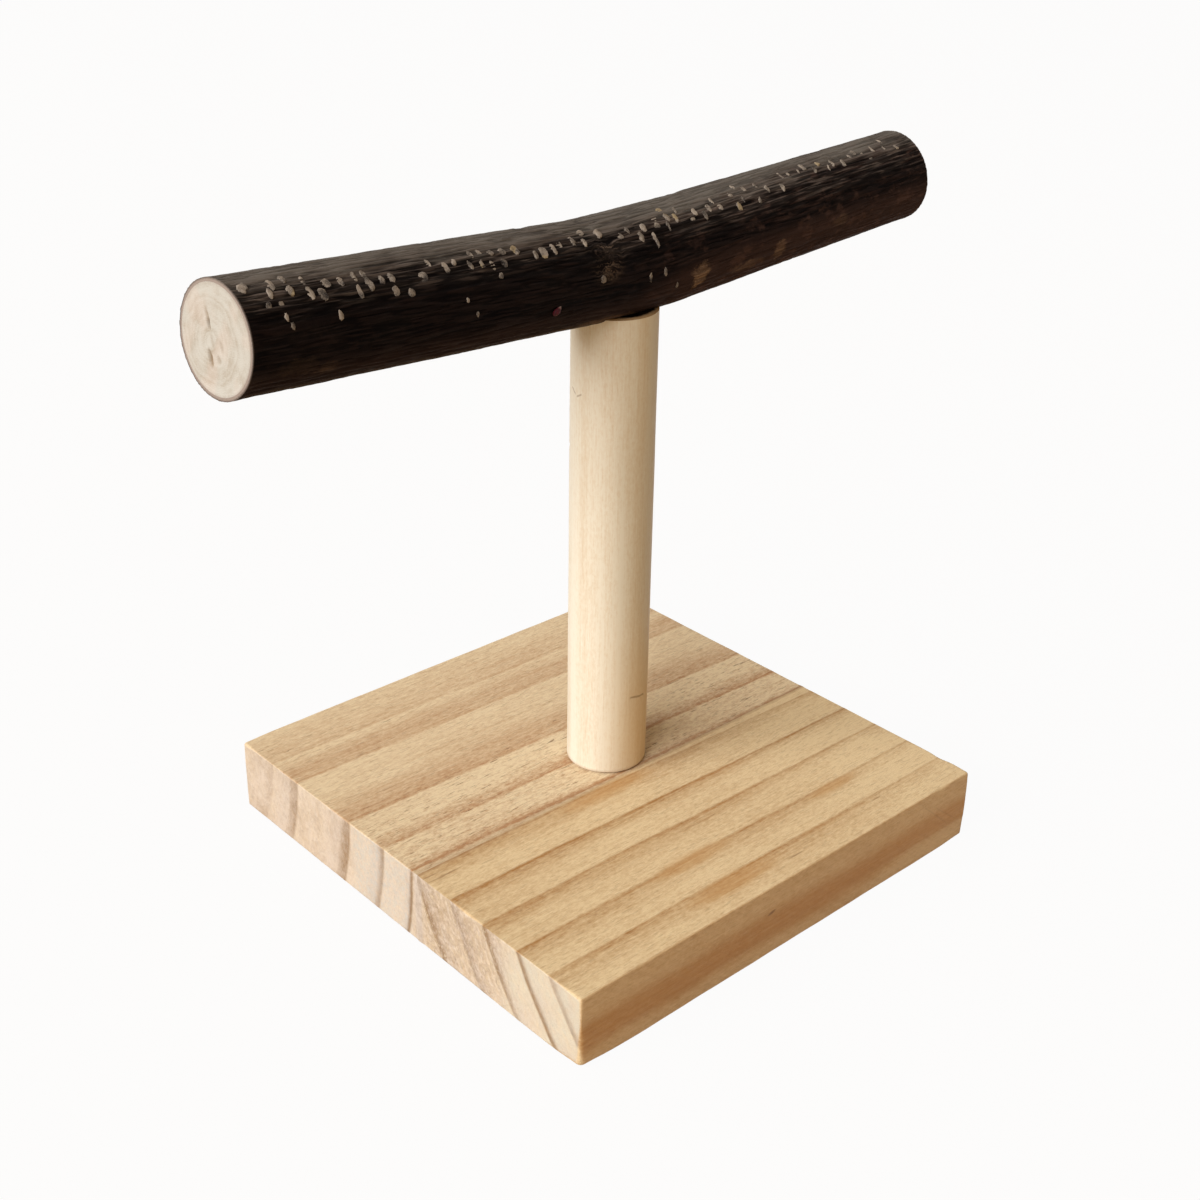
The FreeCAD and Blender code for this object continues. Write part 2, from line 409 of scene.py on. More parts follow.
class Board(NamedTuple):
    """How a board was sawn: the log's pith, across and up in millimetres, and how its rings drift and fan."""
    node: str
    pith: tuple
    drift: float
    fan: float
    fan_from: float
    rings: tuple


REAR_BOARD = Board("base_board_rear", (95.0, 22.0), -0.025, 0.0, 0.0, (
    Ring(44.2, 12.0, 0.36, 0.5, 0.6), Ring(55.2, 10.4, 0.56, 0.75), Ring(65.0, 5.0, 0.12),
    Ring(77.3, 11.5, 0.68, 0.55), Ring(90.8, 6.0, 0.74, 0.5, 1.05), Ring(102.2, 3.6, 0.95)))
FRONT_BOARD = Board("base_board_front", (-155.0, 82.0), 0.0, 0.00057, 115.0, (
    Ring(110.0, 5.0, 0.5, 0.4), Ring(118.4, 6.4, 0.64, 0.45), Ring(127.9, 6.0, 0.64, 0.45, 1.5),
    Ring(138.2, 5.6, 0.7, 0.45), Ring(148.3, 4.8, 0.8, 0.4, 0.32), Ring(159.6, 7.0, 0.66, 0.45, 0.75)))


# Distance between the points of a board along, across and up, in millimetres
BOARD_STEPS = (1.3, 0.65, 0.9)
# How far the ring pattern goes on inside the first ring and outside the last, in millimetres
RING_MARGINS = (13, 12)


class PineLook(bpy.types.PropertyGroup):
    """The two pine boards of the base."""
    rear_early: colour_setting("Rear spring wood", "Pale wood of the rear board", (0.79, 0.642, 0.428))
    rear_late: colour_setting("Rear summer wood", "Dark ring wood of the rear board", (0.44, 0.235, 0.11))
    front_early: colour_setting("Front spring wood", "Pale wood of the front board", (0.765, 0.597, 0.363))
    front_late: colour_setting("Front summer wood", "Dark ring wood of the front board", (0.385, 0.19, 0.058))
    end_early: colour_setting("End grain", "Pale wood of the sawn ends", (0.80, 0.705, 0.613))
    end_late: colour_setting("End rings", "Ring lines on the sawn ends", (0.345, 0.225, 0.13))
    end_cream: colour_setting("End cream", "Cream part of the front board's ends", (0.79, 0.765, 0.66))
    end_chalk: colour_setting("End chalk", "Chalky part of the rear board's ends", (0.69, 0.68, 0.65))
    end_fray: colour_setting("End fray", "Frayed fibres on the front board's ends", (0.86, 0.78, 0.63))
    duct: colour_setting("Resin ducts", "Short dark dashes along the grain", (0.17, 0.08, 0.03))
    resin: colour_setting("Resin stains", "Warm stains on the front board's top", (0.50, 0.26, 0.085))
    line: colour_setting("Dark lines", "Short lines on the front board's top", (0.22, 0.105, 0.035))
    # Partly painted shade: a warm, darker tone over the whole shaded front side, stronger along its real
    # latewood belt
    side: colour_setting("Side", "Warm tone of the front side", (0.52, 0.265, 0.09))
    plane_mark: colour_setting("Plane marks", "Slanting marks on the front side", (0.33, 0.16, 0.06))
    side_mark: colour_setting("Side marks", "Knocks on the front side", (0.16, 0.065, 0.022))
    glue: colour_setting("Glue line", "Darker wood beside the glue line", (0.25, 0.125, 0.05))
    edge_radius: length_setting("Edge radius", "Rounding left by sanding", 0.00035)
    corner_wear: length_setting("Corner wear", "More rounding at the rubbed corners", 0.0013)
    grain_depth: length_setting("Grain depth", "How far the pale wood lies below the rings", 0.00006)
    saw_depth: length_setting("Saw depth", "Depth of the saw marks on the sawn ends", 0.00016)


def ring_reach(place, board):
    """Distance from the board's pith in millimetres, wavering as grain does."""
    along, across, height = place.split()
    half = node_box(board.node)[1][0]
    waver = place.noise((0.012, 0.03, 0.03), 2.0) - 0.5
    reach = distance(across - board.pith[0], height - board.pith[1])
    run = along + half
    return reach + run * ((reach - board.fan_from) * board.fan + board.drift) + waver * 2.0


def ring_dark(reach, board, on_end=False):
    """0 in spring wood, up to 1 at the sharp outer edge of a ring. On a sawn end the rings are narrower."""
    low = board.rings[0].edge - RING_MARGINS[0]
    span = board.rings[-1].edge + RING_MARGINS[1] - low
    stops = []
    for ring in board.rings:
        steps = ((ring.fade, 0), (ring.fade * 0.5, ring.body), (1.1, 0.72), (0.5, 1), (-0.1, 0))
        if on_end:
            width = ring.fade * 0.13
            steps = ((width * 2.2 + 0.8, 0), (width * 1.5 + 0.5, ring.body), (width + 0.3, 0.85),
                     (0.2, 1), (-0.5, 0))
        for inwards, level in steps:
            share = level * ring.depth * (ring.sawn if on_end else 1)
            stops.append(((ring.edge - inwards - low) / span, share))
    return ((reach - low) / span).ramp(stops)


def sawn_end(place, board):
    """1 on the two end faces of a board."""
    along = place.split()[0]
    half = node_box(board.node)[1][0]
    return abs(along).smooth(half - 0.3, half - 0.08)


class Stain(NamedTuple):
    """A soft stain on one face of a board: its middle, half sizes, slope and strength on that face."""
    along: float
    across: float
    half_length: float
    half_width: float
    slope: float = 0.0
    share: float = 1.0


RESIN_STAINS = (Stain(-14.0, -45.5, 12.0, 2.4), Stain(-12.0, -57.6, 14.0, 3.0),
                Stain(-10.0, -12.0, 14.0, 2.6), Stain(34.0, -46.5, 9.0, 1.6))
TOP_LINES = (Stain(-60.0, -13.0, 5.0, 0.26, share=0.5), Stain(-63.0, -11.2, 2.4, 0.2, share=0.5),
             Stain(6.0, -60.0, 2.6, 0.25, share=0.5), Stain(38.0, -57.2, 2.0, 0.25, share=0.5))
SIDE_MARKS = (Stain(-7.0, 11.8, 1.3, 0.45, 0.2, 0.75), Stain(52.0, 12.0, 7.0, 0.35, -0.9, 0.14),
              Stain(57.0, 10.0, 6.0, 0.3, -0.8, 0.14))


def stained(colour, stains, along, across, share, brown):
    """A colour with soft stains on it, which fade out to their rims."""
    for stain in stains:
        run = along - stain.along
        side = across - stain.across - run * stain.slope
        mark = ((run / stain.half_length) ** 2 + (side / stain.half_width) ** 2).smooth(1.6, 0.0)
        colour = (mark * share * stain.share).tint(colour, brown)
    return colour


def end_grain(look, board, place, reach):
    """Colour and relief of the sawn ends: ring lines, pores, and frayed, cream and chalky parts."""
    along, across, height = place.split()
    pore = place.noise((0.8, 5.5, 5.5), 2.0, 0.7)
    fleck = place.joined(reach, height + across * 0.5, along).noise((0.95, 0.5, 0.4), 3.0, 0.65)
    cloud = place.noise((0.1, 0.12, 0.12), 2.0)
    mealy = place.noise((0.3, 0.9, 0.9), 3.0, 0.7)
    frayed = across.smooth(-9.2, -12.0) * across.smooth(-47.0, -34.0)
    line = ring_dark(reach, board, on_end=True)
    shade = 0.15 + line * (0.75 + fleck * 0.35) + (pore - 0.5) * 0.6 + (fleck - 0.5) * (0.6 + frayed * 1.9)
    shade = shade + (cloud - 0.5) * 0.8 + (mealy - 0.5) * 0.85 + frayed * 0.22
    colour = shade.tint(look.end_early, look.end_late)
    cream = across.smooth(-36.0, -44.0) * (1 - line) * (0.3 + cloud.smooth(0.3, 0.6) * 0.6)
    colour = (cream * (0.55 + mealy * 0.9)).tint(colour, look.end_cream)
    chalk = across.smooth(18.5, 15.0) * across.smooth(-7.5, -5.0) * (1 - line) * mealy.smooth(0.3, 0.66)
    colour = chalk.tint(colour, look.end_chalk)
    colour = (fleck.smooth(0.55, 0.66) * frayed * 0.6).tint(colour, look.end_fray)
    return colour, pore * 1.3 + fleck * (1.0 + frayed * 1.6)


def pine_material(look, board):
    """Planed pine: rings, fibres, resin ducts and blotches, and end grain on the sawn ends."""
    material, start = new_material(board.node)
    place = object_place(start)
    along, across, height = place.split()
    low, high = node_box(board.node)
    is_rear = board is REAR_BOARD
    early, late = (look.rear_early, look.rear_late) if is_rear else (look.front_early, look.front_late)
    reach = ring_reach(place, board)
    dark = ring_dark(reach, board)
    fibre = place.noise((0.04, 1.2, 1.2), 4.0, 0.7)
    hair = place.noise((0.3, 7.0, 7.0), 2.0, 0.65)
    fuzz = place.noise((0.6, 1.3, 1.3), 3.0, 0.75)
    blotch = place.noise((0.022, 0.06, 0.06), 2.0)
    torn = torn_grain(place, board)
    duct = place.noise((0.42, 4.2, 4.2), 0.0).smooth(0.65, 0.72)
    end = sawn_end(place, board)

    # The front side, with slanting plane marks and a darker belt along its middle
    planed = place.joined(along + height * 1.3, height).noise((0.55, 0.08, 0.0), 3.0, 0.65)
    side = across.smooth(low[1] + 0.6, low[1] + 0.05) * (0 if is_rear else 1)
    belt_place = height - along * 0.012 + (blotch - 0.5) * 6.0 + (planed - 0.5) * 2.0
    belt = belt_place.smooth(2.4, 6.6) * belt_place.smooth(14.5, 9.5)
    streak = dark + side * (belt * 0.55 - dark * 0.7)
    if not is_rear:
        streak = (streak / 0.7) ** (1 + along.smooth(0.0, 50.0) * 0.9) * 0.7

    # The wood itself, rougher and a little darker on the rear board near the glue line, and painted paler at
    # the front's right as painted light against the lamp's soft shadow there
    fuzzy = across.smooth(24.0, 8.0) * 0.85 + 1.15 if is_rear else 1.15
    rough_tone_and_painted_light = across.smooth(14.0, 4.0) * 0.05 if is_rear else along.smooth(5.0, 60.0) * -0.12
    shade = 0.15 + streak * (0.46 + fibre) + (fibre - 0.5) * 0.45 + (hair - 0.5) * 0.36
    shade = shade + (blotch - 0.5) * 0.45 + rough_tone_and_painted_light + (torn - 0.5) * 0.5 + (fuzz - 0.5) * fuzzy
    plank = shade.tint(early, late)
    duct_share = duct * (0.3 + torn.smooth(0.5, 0.75)) if is_rear else duct * 0.25
    plank = (duct_share * 0.8).tint(plank, look.duct)

    # Stains on the front board, and the glue line
    if not is_rear:
        top = height.smooth(high[2] - 0.8, high[2] - 0.1)
        plank = stained(plank, RESIN_STAINS, along, across, top * (0.28 + fibre * 0.5), look.resin)
        plank = stained(plank, TOP_LINES, along, across, top, look.line)
        # Painted shade over the whole front side, warm and darker, with more of it along the latewood belt
        plank = (side * (0.3 + belt * 0.3)).tint(plank, look.side)
        plank = (side * (planed - 0.35) * 0.5).tint(plank, look.plane_mark)
        plank = stained(plank, SIDE_MARKS, along, height, side, look.side_mark)
    glue = low[1] if is_rear else high[1]
    spread = along.smooth(15.0, -30.0) * 1.6 + 1.0 if is_rear else 1.1
    seam = abs(across - glue).smooth(spread, 0.1) * (0.12 + fibre * 0.5)
    plank = seam.tint(plank, look.glue)

    sawn, sawn_relief = end_grain(look, board, place, reach)
    colour = end.tint(plank, sawn)
    rough = 0.6 + (fibre - 0.5) * 0.3 + end * 0.14 - dark * 0.08
    grain = fibre * 0.5 + hair * 0.35 + dark * 0.3 + torn * 0.8
    relief = grain + end * (sawn_relief - grain)
    surface(start, {"Base Color": colour, "Roughness": rough, "Specular IOR Level": 0.28,
                    "Normal": bumped(start, relief, 0.3)})
    return material


def torn_grain(place, board):
    """Short torn fibres, 0 to 1, rougher on the rear board beside the glue line."""
    across = place.split()[1]
    rough = place.noise((0.16, 1.1, 1.1), 3.0, 0.62)
    near = 0.35 if board is FRONT_BOARD else across.smooth(26.0, 8.0) * 0.75 + 0.45
    return (rough - 0.5) * near + 0.5


def side_places(low, high, radius, step, soft_low, soft_high):
    """Places along one side of a board, close together where its edge rounds off."""
    arc = radius * np.array([0.0, 0.07, 0.15, 0.25, 0.42, 0.68, 1.0])
    first = low + arc if soft_low else np.array([low])
    last = high - arc[::-1] if soft_high else np.array([high])
    count = max(2, round((last[0] - first[-1]) / step))
    middle = np.linspace(first[-1], last[0], count + 1)[1:-1]
    return np.concatenate([first, middle, last])


def edge_radius_at(points, look, corners):
    """Rounding at each point: wavering along the edges, and more at the rubbed corners."""
    wave = np.sin(points @ (0.21, 0.17, 0.4)) + 0.7 * np.sin(points @ (0.55, 0.43, 0.9) + 1.7)
    radius = look.edge_radius / MM * (1 + 0.16 * wave)
    for corner, size, spread in corners:
        away = np.linalg.norm(points - corner, axis=1)
        radius = radius + size * np.exp(-(away / spread) ** 2)
    return radius


def worn_corners(look, low, high, is_rear):
    """Places on a board that are rubbed rounder, as (point, more radius, spread)."""
    wear = look.corner_wear / MM
    if is_rear:
        return [((low[0], high[1], high[2]), wear * 0.5, 5.0), ((high[0], high[1], low[2]), wear * 0.7, 7.0),
                ((high[0], high[1], high[2]), wear * 0.3, 6.0), ((low[0], 22.0, high[2]), wear * 0.2, 4.0)]
    return [((low[0], low[1], low[2]), wear, 8.0), ((low[0], low[1], high[2]), wear * 0.35, 5.0),
            ((high[0], low[1], high[2]), wear * 0.4, 4.0), ((high[0], low[1] + 9, high[2]), wear * 0.65, 2.6),
            ((high[0], low[1], low[2]), wear * 0.5, 6.0), ((low[0], -27.0, high[2]), wear * 0.25, 3.5),
            ((54.0, low[1], high[2]), wear * 0.6, 2.0), ((-47.0, low[1], high[2]), wear * 0.35, 2.5),
            ((12.0, low[1], high[2]), wear * 0.2, 6.0), ((low[0], low[1], 9.0), wear * 0.3, 3.0)]


def make_board(look, board):
    """One board: a box with sanded edges, rubbed corners, relief along its rings, sharp at the glue line."""
    low, high = node_box(board.node)
    is_rear = board is REAR_BOARD
    soft = np.array([[1, 1], [0 if is_rear else 1, 1 if is_rear else 0], [1, 1]])
    widest = (look.edge_radius + look.corner_wear) / MM
    sides = [side_places(low[axis], high[axis], widest, step, *soft[axis])
             for axis, step in enumerate(BOARD_STEPS)]
    points = []
    faces = []
    for axis in range(3):
        one, two = (other for other in range(3) if other != axis)
        first, second = np.meshgrid(sides[one], sides[two], indexing="ij")
        for limit in (low[axis], high[axis]):
            sheet = np.empty(first.shape + (3,))
            sheet[..., axis] = limit
            sheet[..., one] = first
            sheet[..., two] = second
            faces.append(sum(map(len, points)) + grid_faces(*first.shape, close_columns=False))
            points.append(sheet.reshape(-1, 3))
    points = np.concatenate(points)
    radius = edge_radius_at(points, look, worn_corners(look, low, high, is_rear))[:, None]
    inner = np.clip(points, low + radius * soft[:, 0], high - radius * soft[:, 1])
    out = points - inner
    length = np.linalg.norm(out, axis=1, keepdims=True)
    tiny = 1e-6
    rounded = np.where(length > tiny, inner + out / np.maximum(length, tiny) * radius, points)
    piece = mesh_piece("pine_" + board.node, rounded, np.concatenate(faces))
    close_up(piece)

    tree = ShapeTree(board.node + "_grain")
    depth = tree.number("Grain depth", "NodeSocketFloat", look.grain_depth / MM)
    saw_depth = tree.number("Saw depth", "NodeSocketFloat", look.saw_depth / MM)
    place = tree.place()
    glue = low[1] if is_rear else high[1]
    free = abs(place.split()[1] - glue).smooth(0.02, 1.6)
    # Rings and torn fibres together stay under this height, so nothing rises out of the board
    highest = 1.85
    hollow = highest - ring_dark(ring_reach(place, board), board) - torn_grain(place, board)
    saw = sawn_end(place, board) * place.noise((0.7, 1.7, 1.7), 3.0, 0.65)
    sunk = (depth * hollow + saw * saw_depth) * free
    tree.apply(piece, tree.sink(sunk), pine_material(look, board))
    return piece


def countersunk_hole(node):
    """The screw's hole: a clearance bore and the cone its head lies in, as a solid to cut with."""
    low, high = node_box(node)
    head = (high[0] - low[0]) / 2 + 0.1
    mouth = head + 0.25
    seat = low[2]
    below = -2
    above = 40
    profile = [(0, below), (mouth, below), (mouth, seat), (SCREW_BORE, seat + head - SCREW_BORE),
               (SCREW_BORE, above), (0, above)]
    return turned("screw_hole", profile, (low + high) / 2, segments=48)


class PERCH_OT_boards(bpy.types.Operator):
    """Makes the rear and the front board of the base"""
    bl_idname = "perch.boards"
    bl_label = "Pine boards"

    def execute(self, context):
        look = context.scene.perch_pine
        rear = make_board(look, REAR_BOARD)
        cut_out(rear, countersunk_hole("base_screw"))
        finish(rear, REAR_BOARD.node)
        front = make_board(look, FRONT_BOARD)
        finish(front, FRONT_BOARD.node)
        return {"FINISHED"}


# Post

class Scratch(NamedTuple):
    """A short groove across the post: height and turn of its two ends, half width, depth, and dirt in it."""
    height: tuple
    turn: tuple
    half_width: float
    depth: float
    dirt: float


POST_SCRATCHES = (
    Scratch((40.0, 38.8), (-100.0, -66.0), 0.42, 0.22, 1.0),
    Scratch((103.5, 102.2), (128.0, 150.0), 0.9, 0.28, 0.0),
    Scratch((118.2, 117.0), (158.0, 169.0), 0.4, 0.12, 0.8),
    Scratch((116.6, 117.6), (171.0, 182.0), 0.36, 0.1, 0.8),
)
# Rows of points up the post, and points round it
POST_ROWS = 150
POST_SEGMENTS = 128


class PostLook(bpy.types.PropertyGroup):
    """The round post."""
    pale: colour_setting("Pale wood", "Main colour of the dowel", (0.78, 0.725, 0.605))
    warm: colour_setting("Grain", "Colour of its fine upright grain", (0.60, 0.42, 0.235))
    # Painted shade: a browner tone on the post's side away from the lamp
    painted_shade: colour_setting("Heart side", "Tone of the side to the front right", (0.45, 0.355, 0.175))
    # Painted bounce light: warm orange low on that shaded side, next to the board
    painted_board_bounce: colour_setting("Low heart side", "Tone of that side near the board", (0.82, 0.45, 0.12))
    # Painted light: a whiter tone on the side that faces the lamp
    outer: colour_setting("Outer side", "Tone of the side opposite", (0.78, 0.80, 0.74))
    # Painted shade where the post meets the board
    painted_contact_shade: colour_setting("Grime", "Colour where the post meets the board", (0.36, 0.21, 0.10))
    scratch: colour_setting("Scratch", "Colour of dirt in the scratches", (0.24, 0.13, 0.06))
    # Painted shade on the post's top, where the branch shades it: near-black, thinner in places, with brown
    # wood at the rim
    stain: colour_setting("Stain", "Black stain on the top, under the branch", (0.004, 0.003, 0.0025))
    thin_painted_shade: colour_setting("Thin stain", "Where that stain is thin", (0.02, 0.013, 0.009))
    bare_rim: colour_setting("Bare rim", "Wood round that stain", (0.40, 0.26, 0.14))
    bevel: length_setting("Bevel", "Bevel of the two ends", 0.0004)
    waver: length_setting("Waver", "How far sanding left the post out of round", 0.00022)


def post_axis():
    low, high = node_box("post")
    return (low + high) / 2


def scratch_mark(place, scratch):
    """1 in the middle of a scratch, 0 outside it."""
    axis = post_axis()
    along, across, height = place.split()
    turn = bearing(across - axis[1], along - axis[0])
    past = turn - sum(scratch.turn) / 2 + 540
    away = past.math("MODULO", past, 360.0) - 180
    half = abs(scratch.turn[1] - scratch.turn[0]) / 2
    slope = (scratch.height[1] - scratch.height[0]) / (2 * half)
    off = abs(height - (away * slope + sum(scratch.height) / 2))
    ends = abs(away).smooth(half, half * 0.75)
    return off.smooth(scratch.half_width, scratch.half_width * 0.25) * ends


def post_material(look):
    """Sanded dowel: fine upright grain, pale flecks and grime in the scratches, with painted shade and
    painted light on its sides and painted shade at its foot.
    """
    material, start = new_material("pale_dowel")
    place = object_place(start)
    along, across, height = place.split()
    stripe = place.noise((0.33, 0.33, 0.006), 2.0)
    fibre = place.noise((2.2, 2.2, 0.045), 3.0, 0.62)
    fleck = place.noise((5.5, 5.5, 0.32), 2.0, 0.6)
    ray = place.noise((1.6, 1.6, 0.9), 2.0, 0.6)
    shade = 0.12 + (stripe - 0.5) * 1.0 + (fibre - 0.5) * 0.65 + (fleck - 0.5) * 0.8 + (ray - 0.5) * 0.75
    colour = shade.tint(look.pale, look.warm)
    low, high = node_box("post")
    axis = post_axis()
    diagonal = 0.7071
    # Painted light and shade: the side away from the lamp is painted browner as shade and warm orange low
    # down as light bounced from the board; the side facing the lamp is painted whiter as light
    away_from_lamp = (along - axis[0] - across + axis[1]) * (diagonal / float(high[0] - axis[0]))
    painted_shade = away_from_lamp.smooth(-0.35, 0.95)
    colour = (painted_shade * 0.34).tint(colour, look.painted_shade)
    colour = (painted_shade * height.smooth(75.0, 25.0) * 0.3).tint(colour, look.painted_board_bounce)
    colour = (away_from_lamp.smooth(-0.2, -0.9) * 0.25).tint(colour, look.outer)
    # Painted shade: darker at the post's foot, where it meets the board
    painted_contact_shade = height.smooth(low[2] + 1.3, low[2] + 0.1) * 0.5
    colour = painted_contact_shade.tint(colour, look.painted_contact_shade)
    dirt = strongest(scratch_mark(place, scratch) * scratch.dirt
                     for scratch in POST_SCRATCHES if scratch.dirt)
    colour = (dirt * 0.62).tint(colour, look.scratch)
    rough = 0.5 + (fibre - 0.5) * 0.3
    surface(start, {"Base Color": colour, "Roughness": rough, "Specular IOR Level": 0.35,
                    "Normal": bumped(start, fibre * 0.7 + fleck * 0.4, 0.07)})
    return material


def stained_top(look):
    """Painted shade on the post's top, under the branch: dull near-black, with brown wood round it at the
    rim.
    """
    material, start = new_material("stained_top")
    place = object_place(start)
    along, across, _ = place.split()
    axis = post_axis()
    smear = place.noise((0.5, 0.5, 0.5), 3.0, 0.6)
    colour = smear.smooth(0.35, 0.8).tint(look.stain, look.thin_painted_shade)
    reach = distance(along - axis[0], across - axis[1])
    bare = (reach + (smear - 0.5) * 1.6).smooth(8.6, 9.4)
    colour = (bare * 0.8).tint(colour, look.bare_rim)
    surface(start, {"Base Color": colour, "Roughness": 0.9 + (smear - 0.5) * 0.2, "Specular IOR Level": 0.0,
                    "Normal": bumped(start, smear, 0.1)})
    return material


class PERCH_OT_post(bpy.types.Operator):
    """Makes the round post with its pilot holes"""
    bl_idname = "perch.post"
    bl_label = "Post"

    def execute(self, context):
        look = context.scene.perch_post
        low, high = node_box("post")
        axis = post_axis()
        radius = (high[0] - low[0]) / 2
        bevel = look.bevel / MM
        rim = radius - bevel
        room = 0.6
        foot_bore = node_box("base_screw")[1][2] + room
        head_bore = node_box("perch_screw")[0][2] - room
        heights = np.linspace(low[2] + bevel, high[2] - bevel, POST_ROWS)
        profile = [(0, foot_bore), (SCREW_BORE, foot_bore), (SCREW_BORE, low[2]), (rim, low[2])]
        profile += [(radius, height) for height in heights]
        profile += [(rim, high[2]), (SCREW_BORE, high[2]), (SCREW_BORE, head_bore), (0, head_bore)]
        post = turned("dowel_post", profile, axis, POST_SEGMENTS)
        tree = ShapeTree("post_wear")
        waver = tree.number("Waver", "NodeSocketFloat", look.waver / MM)
        place = tree.place()
        along, across, _ = place.split()
        outside = ((along - axis[0]) ** 2 + (across - axis[1]) ** 2).smooth((rim - 0.1) ** 2, rim ** 2)
        sunk = place.noise((0.14, 0.14, 0.03), 2.0) * waver
        for scratch in POST_SCRATCHES:
            sunk = sunk + scratch_mark(place, scratch) * scratch.depth
        tree.apply(post, tree.sink(sunk * outside), post_material(look))
        # Painted shade: the top face and its bevel, under the branch, take the near-black material
        post.data.materials.append(stained_top(look))
        for face in post.data.polygons:
            if face.normal.z > 0.5 and face.center.z / MM > high[2] - bevel:
                face.material_index = 1
        finish(post, "post")
        return {"FINISHED"}


# Branch

class BranchLook(bpy.types.PropertyGroup):
    """The branch: its wood, its bark and the corky pores on the bark."""
    wood: colour_setting("Wood", "Colour of the sawn wood", (0.525, 0.512, 0.47))
    wood_ring: colour_setting("Wood rings", "Colour of its faint rings", (0.325, 0.26, 0.185))
    blush: colour_setting("Blush", "Pinkish patches of the sawn wood", (0.62, 0.52, 0.46))
    pith: colour_setting("Pith", "Colour of the pith and its crack", (0.225, 0.15, 0.08))
    bark: colour_setting("Bark", "Main colour of the bark", (0.0066, 0.0036, 0.003))
    furrow: colour_setting("Furrows", "Colour in the furrows of the bark", (0.0018, 0.001, 0.0008))
    brown: colour_setting("Brown bark", "Brown wisps and patches of the bark", (0.064, 0.036, 0.029))
    # Partly weathering, partly painted sheen and light: this grey is kept to the upper side
    crest: colour_setting("Crests", "Weathered grey on the crests", (0.148, 0.116, 0.10))
    # Partly dust, partly painted sheen along the top of the bark
    dust_and_painted_sheen: colour_setting("Dust", "Dull grey along the top of the bark", (0.160, 0.146, 0.129))
    under: colour_setting("Underside", "Dull tone under the branch", (0.12, 0.10, 0.086))
    rubbed: colour_setting("Rubbed bark", "Brown under bark where it is rubbed", (0.225, 0.15, 0.10))
    inner_bark: colour_setting("Inner bark", "Grey brown of the bark where it is sawn", (0.32, 0.265, 0.235))
    cork: colour_setting("Cork", "Colour of the corky pores", (0.30, 0.25, 0.205))
    yellow_cork: colour_setting("Yellow cork", "Colour of a few of the pores", (0.30, 0.215, 0.09))
    bud: colour_setting("Bud", "Colour of the small bud", (0.075, 0.008, 0.013))
    bud_shade: colour_setting("Bud shade", "Dark streaks on the bud", (0.03, 0.005, 0.007))
    bud_length: length_setting("Bud length", "Length of the bud", 0.0026)
    furrow_depth: length_setting("Furrow depth", "Depth of the bark's furrows", 0.00042)
    groove: length_setting("Saw groove", "Depth of the saw's grooves on the sawn ends", 0.00005)
    pore_length: length_setting("Pore length", "Length of a pore round the branch", 0.002)
    pore_width: length_setting("Pore width", "Width of a pore along the branch", 0.0014)
    pore_gap: length_setting("Pore gap", "Least distance between pores", 0.0022)
    pore_seed: IntProperty(name="Pore seed", description="Seed of the pores' places", default=5)


# Rows of points along the bark and the wood, points round each, and discs across each sawn end
BARK_ROWS = 241
BARK_SEGMENTS = 330
WOOD_ROWS = 81
WOOD_SEGMENTS = 120
END_DISCS = 40
# Every so many rows of the bark's outside, there is one on its inside
INNER_STEP = 8
# Thickness of the bark, room round the post in its seat, and the height the pilot hole is cut from, in mm
BARK_THICK = 0.8
SEAT_ROOM = 0.1
PILOT_FROM = 100


class Spot(NamedTuple):
    """A mark on the bark: its place along X, its turn from the top (front is below 0), sizes and strength."""
    x: float
    turn: float
    length: float
    width: float
    share: float = 1.0


RUBBED_SPOTS = (Spot(17.4, -108, 4.6, 6.4, 1.1), Spot(43.6, -111, 4.4, 5.0, 0.6),
                Spot(33.0, -118, 9.0, 3.0, 0.4), Spot(-91.0, -113, 9.0, 3.5, 0.14),
                Spot(-84.5, -121, 6.0, 3.0, 0.18), Spot(-7.0, -143, 17.0, 2.6, 0.55),
                Spot(2.5, -147, 8.0, 2.0, 0.5), Spot(-24.0, -150, 16.0, 2.2, 0.3),
                Spot(64.0, -100, 5.0, 2.6, 0.4), Spot(30.0, 96, 5.0, 6.0, 0.9),
                Spot(-58.0, 118, 9.0, 4.0, 0.5))
BUD_SCARS = (Spot(-12.0, -62, 6.5, 6.5), Spot(58.0, 40, 5.5, 5.5), Spot(-66.0, 84, 5.5, 5.5))
RED_BUD = Spot(-27.0, -107, 2.6, 1.7)
LONE_PORES = (Spot(-93.2, -62, 0.8, 1.6), Spot(-92.8, -71, 1.0, 1.5), Spot(-82.2, -69, 1.1, 2.0),
              Spot(-64.5, -60, 1.6, 1.9), Spot(-51.5, -77, 0.7, 1.1), Spot(-41.4, -59, 1.2, 1.3),
              Spot(-49.0, -93, 0.7, 1.2), Spot(-13.5, -82, 1.5, 1.8), Spot(1.5, -91, 0.8, 2.2),
              Spot(5.7, -90, 0.8, 2.1), Spot(5.5, -57, 0.7, 2.4), Spot(10.5, -110, 0.7, 1.4),
              Spot(32.4, -45, 1.3, 2.2), Spot(-98.2, -22, 1.2, 2.2), Spot(-90.5, -21, 1.2, 2.2))


class Branch(NamedTuple):
    """The branch's line between its sawn ends, in millimetres: places, directions, radii and run."""
    centre: np.ndarray
    along: np.ndarray
    radius: np.ndarray
    run: np.ndarray

    def unbent(self, spot):
        """A spot's place on the bark with the branch straightened out."""
        run = np.interp(spot.x, self.centre[:, 0], self.run)
        radius = np.interp(spot.x, self.centre[:, 0], self.radius)
        turn = math.radians(spot.turn)
        return (run, radius * math.sin(turn), radius * math.cos(turn))


